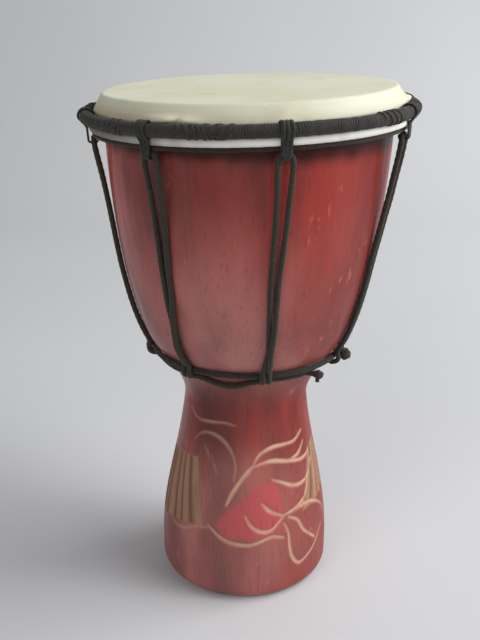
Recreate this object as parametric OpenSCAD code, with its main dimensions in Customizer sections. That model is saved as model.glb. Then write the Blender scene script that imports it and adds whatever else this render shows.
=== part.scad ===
// Small goblet drum: a carved wooden shell, a rawhide head held by two hoops,
// and one lacing cord that pulls the crown hoop down towards the waist hoop.
// The drum stands on z = 0, its axis is Z, and the playing side faces +Z.

/* [Shell] */
// Height of the playing surface above the floor, at the drum's axis
head_z = 300; // [250:1:360]
// Outside radius of the wood at the rim
rim_r = 80.8; // [67:0.2:97]
// Outside radius of the knee, where the bowl turns in to the throat
knee_r = 54.5; // [45:0.5:62]
// Height of the knee
knee_z = 152; // [142:1:182]
// Outside radius of the throat
throat_r = 37; // [31:0.5:44]
// Height of the throat
throat_z = 119; // [99:1:128]
// Largest outside radius of the foot
foot_r = 52; // [48:0.5:63]
// Height of the foot's widest place
foot_belly_z = 22; // [14:1:30]
// Radius of the rounded edge under the foot
base_round = 9; // [3:0.5:12]
// Width of the flat ring that the drum stands on
base_land = 6; // [4:0.5:9]
// Thickness of the wooden wall
wall = 8; // [5:0.5:11]

/* [Head] */
// Thickness of the rawhide
skin_t = 0.9; // [0.6:0.1:1.4]
// Radius of the head's rounded shoulder
shoulder_r = 2.4; // [1.5:0.1:4]
// Tilt of the head and its hoops, higher at +X
crown_tilt = 2.2; // [0:0.1:3]
// Radius of the wire inside the flesh hoop
flesh_wire_r = 1.6; // [1:0.1:2]
// Depth of the flesh hoop's middle below the playing surface
flesh_drop = 17.1; // [16:0.1:19]
// How far the flesh hoop's middle stands out from the rim
flesh_out = 5.8; // [5.5:0.1:7]
// Radius of the thin cord under the flesh hoop
hem_cord_r = 0.9; // [0.6:0.1:1]

/* [Crown hoop] */
// Radius of the crown hoop's wire
crown_wire_r = 2; // [1.2:0.1:2.6]
// Radius over the cord wound round the crown hoop
crown_wrap_r = 3.5; // [3:0.1:4]
// Angle at which the crown hoop rests on the flesh hoop; 90 is straight above it
crown_rest = 56; // [50:1:66]
// Thickness of a crown loop's band
loop_t = 1.2; // [0.8:0.1:1.4]
// Width of a crown loop over the crown hoop
loop_w = 6.6; // [5:0.1:8]
// Width of a crown loop's lower end, inside the lacing's bend
loop_tip_w = 2.6; // [2:0.1:3]

/* [Waist hoop] */
// Radius of the waist hoop's wire
waist_wire_r = 0.9; // [0.6:0.1:1.2]
// Radius over the cord wound round the waist hoop
waist_wrap_r = 1.7; // [1.5:0.1:2.2]

/* [Lacing] */
// Diameter of the lacing cord
cord_d = 3.2; // [2.6:0.1:3.4]
// Space between the two strands of a pair, where they leave the crown
crown_space = 4.2; // [3.5:0.1:5]
// Space between the two strands of a pair, where they pass the waist hoop
waist_space = 0.3; // [0.2:0.1:1]
// Height above the knee at which one strand of a pair rides on the other
cross_rise = 14; // [12:1:20]
// Radius of the upper knot
upper_knot_r = 4; // [3:0.1:4.2]
// Radius of the lower knot
lower_knot_r = 3.2; // [2.4:0.1:3.4]
// Length of the cord's cut end, from the middle of the lower knot
cut_end = 6; // [4:0.5:9]

/* [Fit] */
// Clearance between pieces that bear on each other
seat_gap = 0.15; // [0.1:0.05:0.25]

/* [Hidden] */

// Azimuths of the seven strand pairs, from the front (-Y) towards +X
PAIRS = [67, 122, 175, 228, 280, 325.5, 371];
// Whether one strand of the pair rides on the other near the knee; else they lie side by side
RIDES = [false, false, false, false, false, true, true];
// How far the cord sags below the waist hoop after each pair
SAGS = [0.6, 0.9, 0.7, 1, 0.2, 1, 0.1];
// Azimuths of the knots at the cord's two ends
UPPER_KNOT_AT = 70.9;
LOWER_KNOT_AT = 405;
CORD_SIDES = 8;
CURVE_STEPS = 12;
FINE = 96;
cord_r = cord_d / 2;
pair_count = len(PAIRS);

// ---- curves ----

// A point of the cubic curve with four control points, at t from 0 to 1
function curve_at(c, t) =
    pow(1 - t, 3) * c[0] + 3 * pow(1 - t, 2) * t * c[1]
    + 3 * (1 - t) * t * t * c[2] + pow(t, 3) * c[3];

// The curve's direction at t
function curve_dir(c, t) =
    let (d = 3 * pow(1 - t, 2) * (c[1] - c[0]) + 6 * (1 - t) * t * (c[2] - c[1])
        + 3 * t * t * (c[3] - c[2]))
    d / norm(d);

// The curve's point at t, moved outwards by a distance
function curve_off(c, t, out) =
    let (d = curve_dir(c, t)) curve_at(c, t) + out * [d[1], -d[0]];

// A row of points along a curve, its first point left out, moved outwards
function curve_row(c, out = 0, steps = CURVE_STEPS) =
    [for (i = [1 : steps]) curve_off(c, i / steps, out)];

// ---- outline of the shell: the outside, from the foot up ----

rise = head_z - knee_z;
knee_slope = [12.5, 16];
foot_curve = [[foot_r, foot_belly_z], [foot_r, foot_belly_z + 33],
    [throat_r + 2.5, throat_z - 31], [throat_r, throat_z]];
under_curve = [[throat_r, throat_z], [throat_r, throat_z + 11],
    [knee_r, knee_z] - 0.5 * knee_slope, [knee_r, knee_z]];
bowl_curve = [[knee_r, knee_z], [knee_r, knee_z] + knee_slope,
    [rim_r - 1.3, knee_z + 0.49 * rise], [rim_r, head_z]];
over_cut = 10;

// ---- the inside follows the outside at the wall's thickness, down to the throat ----

land_r = foot_r - base_round - base_land;
cavity_curve = [[land_r, 0], [land_r, 0.4 * throat_z],
    [throat_r - wall, throat_z - 40], [throat_r - wall, throat_z]];

// ---- places in the head's own frame, which crown_tilt then leans ----

rim_z = head_z - skin_t - seat_gap;
rim_bevel = shoulder_r - skin_t;
flesh_r = flesh_wire_r + seat_gap + skin_t;
flesh_at = [rim_r + flesh_out, head_z - flesh_drop];
crown_at = flesh_at + (flesh_r + crown_wrap_r + seat_gap) * [cos(crown_rest), sin(crown_rest)];
hem_at = flesh_at - [0, flesh_r + seat_gap + hem_cord_r];
bend_z = hem_at[1] - hem_cord_r - seat_gap - cord_r;
bend_r = hem_at[0] + 0.2;
loop_in_r = crown_wrap_r + seat_gap;
loop_out_r = loop_in_r + loop_t;
pair_top = cord_d + crown_space;
pair_waist = cord_d + waist_space;
bend_low = bend_z - pair_top / 2;
tip_low = bend_low + sqrt(pow(crown_space / 2, 2) - pow(loop_tip_w / 2, 2)) - 2 * seat_gap;

// ---- the waist hoop lies against the underside of the knee ----

waist_at = curve_off(under_curve, 0.96, waist_wrap_r + seat_gap);
over_waist = waist_wrap_r + cord_r + 2 * seat_gap;
on_bowl = cord_r + 2 * seat_gap;

// A point at radius r, azimuth a and height z, moved sideways
function at(r, a, z, side = 0) =
    [r * sin(a) + side * cos(a), -r * cos(a) + side * sin(a), z];

// The same point after the head's tilt
function leaned(p) = [
    p[0] * cos(crown_tilt) - (p[2] - head_z) * sin(crown_tilt),
    p[1],
    head_z + p[0] * sin(crown_tilt) + (p[2] - head_z) * cos(crown_tilt)];

// ---- route of the lacing cord ----

cross_z = knee_z + cross_rise;
// Where the cord runs on the shell's underside, and how far a full sag lowers it, as shares of its curve
run_at = 0.83;
sag_by = 0.19;
level_z = knee_z + 0.43 * rise;

// Distance between a pair's strands at a height: closing from the crown down to
// cross_z, where they are nearest, and opening again to the waist hoop
function pair_gap(z, nearest) = z > cross_z
    ? lookup((z - cross_z) / (bend_low - cross_z),
        [[0, nearest], [0.22, max(nearest, cord_d)], [0.45, cord_d + 1.2], [0.7, cord_d + 2.6],
            [1, pair_top]])
    : lookup(z, [[waist_at[1] + cord_d, pair_waist], [cross_z, nearest]]);

// How near a pair's strands come: one rides on the other, or they lie side by side
function pair_nearest(k) = RIDES[k] ? cord_r / 2 : cord_d + seat_gap;

// How far the strand on top is lifted to clear the strand below it
function pair_lift(gap) = sqrt(max(0, pow(cord_d + seat_gap, 2) - gap * gap));

// Places on one strand from the crown down, as [radius, height]
landing = curve_off(bowl_curve, 0.55, on_bowl);
straight = [for (f = [0, 0.33, 0.66]) [bend_r, bend_low] + f * (landing - [bend_r, bend_low])];
resting = [for (t = [0.55, 0.46, 0.37, 0.29, 0.21, 0.14, 0.08]) curve_off(bowl_curve, t, on_bowl)];
round_waist = [for (a = [40, 5, -30, -65, -100]) waist_at + over_waist * [cos(a), sin(a)]];
strand = concat(straight, resting, round_waist);

// How much of the head's tilt a height feels: all at the crown, none at mid bowl
function tilt_share(z) = min(1, max(0, (z - level_z) / (bend_low - level_z)));

// One place of a strand of pair k in space; side is -1 or +1, and the +1 strand lies on top
function strand_at(p, k, side) =
    let (gap = pair_gap(p[1], pair_nearest(k)), s = tilt_share(p[1]),
        q = at(p[0] + (side > 0 ? pair_lift(gap) : 0), PAIRS[k], p[1], side * gap / 2))
    (1 - s) * q + s * leaned(q);

// From place number n up one strand of pair k, round the bend inside the crown loop, and down the other
function pair_route(k, side, n) = concat(
    [for (i = [n : -1 : 0]) strand_at(strand[i], k, side)],
    [for (u = [36, 72, 108, 144])
        leaned(at(bend_r, PAIRS[k], bend_low + pair_top / 2 * sin(u), side * pair_top / 2 * cos(u)))],
    [for (p = strand) strand_at(p, k, -side)]);

// Along under the waist hoop from azimuth a to azimuth b, sagging between
function waist_run(a, b, sag, steps) =
    [for (i = [1 : steps - 1]) let (u = i / steps,
        p = curve_off(under_curve, run_at - sag_by * sag * sin(180 * u), on_bowl))
        at(p[0], a + (b - a) * u, p[1])];

// Centres of the two knots, against the waist hoop's outside and underside
upper_knot_at = at(waist_at[0] + waist_wrap_r + upper_knot_r + seat_gap, UPPER_KNOT_AT, waist_at[1]);
lower_reach = waist_wrap_r + lower_knot_r + seat_gap;
lower_knot_at = at(waist_at[0] + 0.5 * lower_reach, LOWER_KNOT_AT, waist_at[1] - 0.87 * lower_reach);

// The point where the cord meets a knot's surface, coming from p
function knot_face(knot, r, p) = knot + (r + seat_gap) * unit(p - knot);

first_place = len(straight) + len(resting) - 1;
run_from = [for (a = PAIRS) a + 3.2];
run_to = [for (k = [1 : pair_count]) k < pair_count ? PAIRS[k] - 3.2 : LOWER_KNOT_AT - 1];
laced = concat(
    pair_route(0, 1, first_place), waist_run(run_from[0], run_to[0], SAGS[0], 8),
    [for (k = [1 : pair_count - 1]) each concat(
        pair_route(k, -1, len(strand) - 1), waist_run(run_from[k], run_to[k], SAGS[k], 8))]);
cord_route = concat([knot_face(upper_knot_at, upper_knot_r, laced[0])], laced,
    [knot_face(lower_knot_at, lower_knot_r, laced[len(laced) - 1])]);

// ---- a tube swept along points in space ----

function unit(v) = v / norm(v);

// Direction of the route at point i
function heading(route, i) =
    unit(route[min(i + 1, len(route) - 1)] - route[max(i - 1, 0)]);

// A direction square to each heading, carried along the route without twist
function carried(route, i, side, out = []) = i == len(route) ? out
    : let (h = heading(route, i), s = unit(side - h * (side * h)))
    carried(route, i + 1, s, concat(out, [s]));

// Triangles between ring i and the next one
function skirt(i, n) = [for (j = [0 : n - 1])
    each [[i * n + j, i * n + (j + 1) % n, (i + 1) * n + (j + 1) % n],
        [i * n + j, (i + 1) * n + (j + 1) % n, (i + 1) * n + j]]];

module tube(route, r, n) {
    sides = carried(route, 0, cross(heading(route, 0), [0.3, 0.2, 1]));
    last = len(route) - 1;
    points = [for (i = [0 : last]) let (h = heading(route, i), s = sides[i], w = cross(h, s))
        for (j = [0 : n - 1]) route[i] + r * (s * cos(360 * j / n) + w * sin(360 * j / n))];
    caps = [[for (j = [n - 1 : -1 : 0]) j], [for (j = [0 : n - 1]) last * n + j]];
    polyhedron(points, concat(caps, [for (i = [0 : last - 1]) each skirt(i, n)]), convexity = 20);
}

// ---- shared shapes ----

// Leans its children with the head
module leaning() {
    translate([0, 0, head_z]) rotate([0, -crown_tilt, 0]) translate([0, 0, -head_z]) children();
}

// A round ring of radius r about the axis, through a place [radius, height]
module ring(place, r) {
    rotate_extrude($fn = FINE) translate(place) circle(r, $fn = FINE / 2);
}

// A ring's outline carried through a width at an azimuth
module arc_piece(azimuth, width, radius) {
    angle = width / radius * 180 / PI;
    rotate([0, 0, azimuth - 90 - angle / 2]) rotate_extrude(angle = angle, $fn = FINE) children();
}

// ---- the pieces ----

// Carved goblet: bowl, throat and foot in one piece of wood, open right through
module shell() {
    base_edge = [for (a = [-90 : 15 : 0])
        [foot_r - base_round + base_round * cos(a), base_round + base_round * sin(a)]];
    outside = concat(base_edge, [[foot_r, foot_belly_z]], curve_row(foot_curve),
        curve_row(under_curve), curve_row(bowl_curve), [[rim_r, head_z + over_cut]]);
    inside = concat([[land_r, 0]], curve_row(cavity_curve), curve_row(under_curve, -wall),
        curve_row(bowl_curve, -wall), [[rim_r - wall, head_z + over_cut]]);
    color("firebrick") difference() {
        rotate_extrude($fn = FINE)
            polygon(concat(outside, [for (i = [len(inside) - 1 : -1 : 0]) inside[i]]));
        leaning() {
            translate([-2 * rim_r, -2 * rim_r, rim_z]) cube([4 * rim_r, 4 * rim_r, 2 * over_cut]);
            rotate_extrude($fn = FINE) polygon([[rim_r + 1, rim_z + 1], [rim_r - rim_bevel - 1, rim_z + 1],
                [rim_r + 1, rim_z - rim_bevel - 1]]);
        }
    }
}

// Rawhide: flat top, rounded shoulder, collar that swells out towards the crown hoop,
// and the turn round the flesh hoop
module drumhead() {
    centre = [rim_r + 2 * seat_gap + skin_t - shoulder_r, head_z - shoulder_r];
    shoulder = [for (a = [90 : -15 : 15]) centre + shoulder_r * [cos(a), sin(a)]];
    under = [for (a = [15 : 15 : 90]) centre + (shoulder_r - skin_t) * [cos(a), sin(a)]];
    by_loops = loop_out_r + seat_gap + skin_t;
    collar = [for (a = [152, 168, 184]) crown_at + by_loops * [cos(a), sin(a)]];
    turn = flesh_at - [flesh_wire_r + seat_gap + skin_t / 2, 0];
    color("beige") leaning() difference() {
        union() {
            rotate_extrude($fn = FINE) polygon(concat([[0, head_z]], shoulder,
                [for (p = collar) p + [skin_t, 0]], [turn + [skin_t / 2, 0], turn - [skin_t / 2, 0]],
                [for (i = [len(collar) - 1 : -1 : 0]) collar[i]], under, [[0, head_z - skin_t]]));
            ring(flesh_at, flesh_r);
        }
        ring(flesh_at, flesh_wire_r + seat_gap);
    }
}

// Steel wire hoop that the hide is turned round
module flesh_hoop() {
    color("silver") leaning() ring(flesh_at, flesh_wire_r);
}

// Thin cord that runs round under the flesh hoop
module hem_cord() {
    color("dimgray") leaning() ring(hem_at, hem_cord_r);
}

// Steel wire hoop that presses the flesh hoop down
module crown_hoop() {
    color("silver") leaning() ring(crown_at, crown_wire_r);
}

// Black cord wound round the crown hoop
module crown_wrap() {
    color("black") leaning() difference() {
        ring(crown_at, crown_wrap_r);
        ring(crown_at, crown_wire_r + seat_gap);
    }
}

// One loop of cord: round the crown hoop, down over the flesh hoop, and under the lacing's bend
module crown_loop(k) {
    front = flesh_at[0] + flesh_r + seat_gap;
    tip_in = bend_r - cord_r - seat_gap;
    tip_out = front + loop_t - seat_gap;
    fork_z = hem_at[1] + 1;
    color("black") leaning() {
        arc_piece(PAIRS[k], loop_w, crown_at[0]) difference() {
            union() {
                translate(crown_at) circle(loop_out_r, $fn = FINE / 2);
                polygon([crown_at + [loop_out_r, 0], [front + loop_t, flesh_at[1] - flesh_r / 2],
                    [front + loop_t, fork_z], [front, fork_z], [front, crown_at[1]]]);
            }
            translate(crown_at) circle(loop_in_r, $fn = FINE / 2);
            translate(flesh_at) circle(flesh_r + seat_gap, $fn = FINE / 2);
        }
        arc_piece(PAIRS[k], loop_tip_w, crown_at[0]) polygon([[tip_out, fork_z + loop_t],
            [tip_out, tip_low], [tip_out - loop_t / 2, tip_low - loop_t],
            [tip_in - loop_t / 2, tip_low - loop_t], [tip_in - loop_t, tip_low],
            [tip_in - loop_t, bend_z + cord_r], [tip_in, bend_z + cord_r], [tip_in, tip_low],
            [front + seat_gap, tip_low], [front + seat_gap, fork_z + loop_t]]);
    }
}

// Steel wire hoop that lies under the bowl's knee
module waist_hoop() {
    color("silver") ring(waist_at, waist_wire_r);
}

// Black cord wound round the waist hoop
module waist_wrap() {
    color("black") difference() {
        ring(waist_at, waist_wrap_r);
        ring(waist_at, waist_wire_r + seat_gap);
    }
}

// The one lacing cord, from the upper knot through all seven loops to the lower knot
module lacing_cord() {
    color("black") tube(cord_route, cord_r, CORD_SIDES);
}

// A tight overhand knot: a ball with a raised turn round it
module knot(place, r) {
    translate(place) {
        sphere(0.86 * r, $fn = FINE);
        rotate([60, 20, 0]) rotate_extrude($fn = FINE)
            translate([0.55 * r, 0]) circle(0.45 * r, $fn = FINE / 4);
    }
}

module upper_knot() {
    color("black") knot(upper_knot_at, upper_knot_r);
}

// The lower knot also has the cord's short cut end
module lower_knot() {
    color("black") {
        knot(lower_knot_at, lower_knot_r);
        translate(lower_knot_at) rotate([0, 0, LOWER_KNOT_AT]) rotate([15, -150, 0])
            cylinder(h = cut_end, r = 0.75 * cord_r, $fn = FINE / 4);
    }
}

shell();
drumhead();
flesh_hoop();
hem_cord();
crown_hoop();
crown_wrap();
crown_loop(0);  // crown_loop_1
crown_loop(1);  // crown_loop_2
crown_loop(2);  // crown_loop_3
crown_loop(3);  // crown_loop_4
crown_loop(4);  // crown_loop_5
crown_loop(5);  // crown_loop_6
crown_loop(6);  // crown_loop_7
waist_hoop();
waist_wrap();
lacing_cord();
upper_knot();
lower_knot();
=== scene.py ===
import logging
import math
from dataclasses import dataclass, field
from enum import Enum
from itertools import accumulate
from typing import Optional, Sequence

import bpy
import numpy as np
from mathutils import Matrix, Vector


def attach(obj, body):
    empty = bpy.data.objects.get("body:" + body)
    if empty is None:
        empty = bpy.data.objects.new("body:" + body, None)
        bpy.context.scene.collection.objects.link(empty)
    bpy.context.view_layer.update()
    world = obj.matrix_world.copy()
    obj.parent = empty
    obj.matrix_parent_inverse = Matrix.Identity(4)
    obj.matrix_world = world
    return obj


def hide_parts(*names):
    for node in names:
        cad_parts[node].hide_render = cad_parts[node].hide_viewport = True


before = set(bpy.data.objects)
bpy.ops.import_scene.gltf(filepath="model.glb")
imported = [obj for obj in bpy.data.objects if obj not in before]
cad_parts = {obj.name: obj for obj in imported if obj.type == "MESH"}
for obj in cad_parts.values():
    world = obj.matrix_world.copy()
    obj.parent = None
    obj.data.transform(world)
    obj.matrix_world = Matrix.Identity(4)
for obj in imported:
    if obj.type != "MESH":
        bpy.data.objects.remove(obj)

LOG = logging.getLogger("djembe")
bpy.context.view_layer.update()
MM = 0.001
BODY = "root"


# ---------------------------------------------------------------- curves

def curve_point(control: np.ndarray, t: np.ndarray) -> np.ndarray:
    """Point of the cubic curve with four control points: their mean, weighed by the cubic terms of t.

    Args:
        control: the four control points, each [radius, height].
        t: places along the curve, from 0 to 1.

    Returns:
        One [radius, height] for each t.
    """
    c, t = np.asarray(control, float), np.asarray(t, float)[..., None]
    return (1 - t) ** 3 * c[0] + 3 * (1 - t) ** 2 * t * c[1] + 3 * (1 - t) * t ** 2 * c[2] + t ** 3 * c[3]


def curve_beside(control: np.ndarray, t: np.ndarray, out: float = 0.0) -> np.ndarray:
    """Point of the cubic curve, moved square to the curve by a distance, outwards on a rising curve.

    Args:
        control: the four control points.
        t: places along the curve, from 0 to 1.
        out: distance to move, in millimetres.

    Returns:
        One [radius, height] for each t.
    """
    c, u = np.asarray(control, float), np.asarray(t, float)[..., None]
    slope = (1 - u) ** 2 * (c[1] - c[0]) + 2 * (1 - u) * u * (c[2] - c[1]) + u ** 2 * (c[3] - c[2])
    slope /= np.linalg.norm(slope, axis=-1, keepdims=True)
    square = np.stack([slope[..., 1], -slope[..., 0]], -1)
    return curve_point(control, t) + out * square


def smooth_through(places: Sequence, step: float, closed: bool = False) -> np.ndarray:
    """A smooth line through places, with its points an even step apart.

    Between two places the line is a cubic that leaves each place along the mean of the slopes to
    its two neighbours. The slopes are weighed by the square root of the distances, which keeps the
    line from swinging wide between a long gap and a short one.

    Args:
        places: the points that the line passes through.
        step: distance between the points of the result.
        closed: whether the line comes back to its first place.

    Returns:
        Points along the line; a closed line doesn't repeat its first point.
    """
    p = np.asarray(places, float)
    if closed:
        p = np.vstack([p[-1:], p, p[:2]])
    gap = np.sqrt(np.linalg.norm(np.diff(p, axis=0), axis=1))[:, None]
    slope = np.diff(p, axis=0) / gap
    inner = (slope[:-1] * gap[1:] + slope[1:] * gap[:-1]) / (gap[:-1] + gap[1:])
    lean = np.vstack([slope[:1], inner, slope[-1:]])
    if closed:
        p, lean, gap = p[1:-1], lean[1:-1], gap[1:-1]
    u = np.linspace(0, 1, 24, endpoint=False)[None, :, None]
    line = ((2 * u ** 3 - 3 * u ** 2 + 1) * p[:-1, None]
            + (u ** 3 - 2 * u ** 2 + u) * (lean[:-1] * gap)[:, None]
            + (3 * u ** 2 - 2 * u ** 3) * p[1:, None] + (u ** 3 - u ** 2) * (lean[1:] * gap)[:, None])
    line = np.vstack([line.reshape(-1, p.shape[1]), p[-1:]])
    along = np.concatenate([[0], np.cumsum(np.linalg.norm(np.diff(line, axis=0), axis=1))])
    even = np.linspace(0, along[-1], max(2, round(along[-1] / step)) + 1)
    line = np.stack([np.interp(even, along, line[:, k]) for k in range(p.shape[1])], -1)
    return line[:-1] if closed else line


def unit(v: np.ndarray) -> np.ndarray:
    """The vectors, each divided by its length."""
    return v / np.linalg.norm(v, axis=-1, keepdims=True)


def headings(line: np.ndarray, closed: bool = False) -> np.ndarray:
    """Direction of a line at each point: from the point before it to the point after it."""
    if closed:
        return unit(np.roll(line, -1, axis=0) - np.roll(line, 1, axis=0))
    return unit(np.gradient(line, axis=0))


def carried(heading: np.ndarray, first: Sequence[float]) -> np.ndarray:
    """A direction square to each heading, carried along the line without twist.

    Args:
        heading: direction of the line at each point.
        first: any direction that isn't along the first heading.

    Returns:
        One unit vector for each point.
    """
    def carry(side: np.ndarray, ahead: np.ndarray) -> np.ndarray:
        """The side direction, less its share along the new heading."""
        return unit(side - ahead * np.dot(side, ahead))
    return np.array(list(accumulate(heading[1:], carry, initial=carry(np.asarray(first, float), heading[0]))))


def ripple(angle: np.ndarray, seed: int, low: int, high: int) -> np.ndarray:
    """Smooth unevenness round a ring, from about -1 to 1: the mean of cosine waves whose counts
    round the ring run from low to high, each with a set phase and strength."""
    draw = np.random.default_rng(seed)
    count = np.arange(low, high + 1)
    phase, strength = draw.uniform(0, 2 * math.pi, count.size), draw.uniform(0.4, 1, count.size)
    wave = np.cos(np.asarray(angle)[..., None] * count + phase) * strength
    return wave.sum(-1) / np.sqrt((strength ** 2).sum())


def hump(distance: np.ndarray, width: float) -> np.ndarray:
    """A bell curve: 1 at distance 0, falling to 0.6 at one width and near 0 at three."""
    return np.exp(-0.5 * (np.asarray(distance) / width) ** 2)


def around(a: np.ndarray, b: float) -> np.ndarray:
    """Difference of two azimuths in degrees, brought to -180..180."""
    return (np.asarray(a) - b + 180) % 360 - 180


# ---------------------------------------------------------------- sizes

@dataclass(frozen=True)
class DrumSizes:
    """The drum's sizes in millimetres, as the CAD model has them, and the places that follow."""

    head_z: float = 300.0
    rim_r: float = 80.8
    knee_r: float = 54.5
    knee_z: float = 152.0
    throat_r: float = 37.0
    throat_z: float = 119.0
    foot_r: float = 52.0
    foot_belly_z: float = 22.0
    base_round: float = 9.0
    base_land: float = 6.0
    wall: float = 8.0
    skin_t: float = 0.9
    shoulder_r: float = 2.4
    crown_tilt: float = 2.2
    flesh_wire_r: float = 1.6
    flesh_drop: float = 17.1
    flesh_out: float = 5.8
    hem_cord_r: float = 0.9
    crown_wrap_r: float = 3.5
    crown_rest: float = 56.0
    loop_t: float = 1.2
    loop_w: float = 6.6
    loop_tip_w: float = 2.6
    waist_wrap_r: float = 1.7
    cord_d: float = 3.2
    crown_space: float = 4.2
    waist_space: float = 0.3
    cross_rise: float = 14.0
    upper_knot_r: float = 4.0
    lower_knot_r: float = 3.2
    cut_end: float = 6.0
    seat_gap: float = 0.15
    pairs: tuple = (67, 122, 175, 228, 280, 325.5, 371)
    rides: tuple = (False, False, False, False, False, True, True)
    sags: tuple = (0.6, 0.9, 0.7, 1, 0.2, 1, 0.1)
    run_at: float = 0.83
    sag_by: float = 0.19
    upper_knot_at: float = 70.9
    lower_knot_at: float = 405.0

    @property
    def foot_curve(self) -> np.ndarray:
        """Outside of the foot, from its belly up to the throat."""
        return np.array([[self.foot_r, self.foot_belly_z], [self.foot_r, self.foot_belly_z + 33],
                         [self.throat_r + 2.5, self.throat_z - 31], [self.throat_r, self.throat_z]])

    @property
    def under_curve(self) -> np.ndarray:
        """Outside from the throat out to the knee."""
        knee = np.array([self.knee_r, self.knee_z])
        return np.array([[self.throat_r, self.throat_z], [self.throat_r, self.throat_z + 11],
                         knee - 0.5 * np.array([12.5, 16]), knee])

    @property
    def bowl_curve(self) -> np.ndarray:
        """Outside of the bowl, from the knee up to the rim."""
        knee = np.array([self.knee_r, self.knee_z])
        return np.array([knee, knee + [12.5, 16],
                         [self.rim_r - 1.3, self.knee_z + 0.49 * (self.head_z - self.knee_z)],
                         [self.rim_r, self.head_z]])

    @property
    def cavity_curve(self) -> np.ndarray:
        """Inside of the foot, from the floor up to the throat."""
        land_r, inner = self.foot_r - self.base_round - self.base_land, self.throat_r - self.wall
        return np.array([[land_r, 0], [land_r, 0.4 * self.throat_z], [inner, self.throat_z - 40],
                         [inner, self.throat_z]])

    @property
    def rim_z(self) -> float:
        """Height of the wooden rim under the hide, at the axis."""
        return self.head_z - self.skin_t - self.seat_gap

    @property
    def flesh_r(self) -> float:
        """Radius over the hide that is turned round the flesh hoop."""
        return self.flesh_wire_r + self.seat_gap + self.skin_t

    @property
    def flesh_at(self) -> np.ndarray:
        """Middle of the flesh hoop, [radius, height]."""
        return np.array([self.rim_r + self.flesh_out, self.head_z - self.flesh_drop])

    @property
    def crown_at(self) -> np.ndarray:
        """Middle of the crown hoop, resting on the flesh hoop at the crown_rest angle."""
        a = math.radians(self.crown_rest)
        reach = self.flesh_r + self.crown_wrap_r + self.seat_gap
        return self.flesh_at + reach * np.array([math.cos(a), math.sin(a)])

    @property
    def hem_at(self) -> np.ndarray:
        """Middle of the thin cord under the flesh hoop."""
        return self.flesh_at - [0, self.flesh_r + self.seat_gap + self.hem_cord_r]

    @property
    def bend_r(self) -> float:
        """Radius at which the lacing bends through the crown loops."""
        return self.hem_at[0] + 0.2

    @property
    def bend_z(self) -> float:
        """Height of the lacing's middle at the top of a bend."""
        return self.hem_at[1] - self.hem_cord_r - self.seat_gap - self.cord_d / 2

    @property
    def pair_top(self) -> float:
        """Distance between a pair's strands at the crown."""
        return self.cord_d + self.crown_space

    @property
    def bend_low(self) -> float:
        """Height at which a bend's two ends start down."""
        return self.bend_z - self.pair_top / 2

    @property
    def waist_at(self) -> np.ndarray:
        """Middle of the waist hoop, against the underside of the knee."""
        return curve_beside(self.under_curve, np.array(0.96), self.waist_wrap_r + self.seat_gap)

    def leaned(self, points: np.ndarray, share: float | np.ndarray = 1.0) -> np.ndarray:
        """Points after the head's lean: a turn about the Y direction at the head's middle.

        Args:
            points: points in millimetres.
            share: how much of the lean they feel, from 0 to 1, one number or one for each point.

        Returns:
            The moved points.
        """
        a = math.radians(self.crown_tilt)
        x, up = points[..., 0], points[..., 2] - self.head_z
        turned = np.stack([x * math.cos(a) - up * math.sin(a), points[..., 1],
                           self.head_z + x * math.sin(a) + up * math.cos(a)], -1)
        share = np.asarray(share, float)[..., None]
        return (1 - share) * points + share * turned


def on_drum(radius: np.ndarray, azimuth: np.ndarray, z: np.ndarray,
            side: np.ndarray | float = 0.0) -> np.ndarray:
    """Point at a radius, an azimuth from the front towards the right, and a height, moved sideways.

    Args:
        radius: distance from the axis, in millimetres.
        azimuth: degrees from -Y towards +X.
        z: height.
        side: distance to move square to the radius.

    Returns:
        Points [x, y, z].
    """
    a = np.radians(azimuth)
    return np.stack(np.broadcast_arrays(radius * np.sin(a) + side * np.cos(a),
                                        -radius * np.cos(a) + side * np.sin(a), z), -1)


# ---------------------------------------------------------------- surfaces

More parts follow.
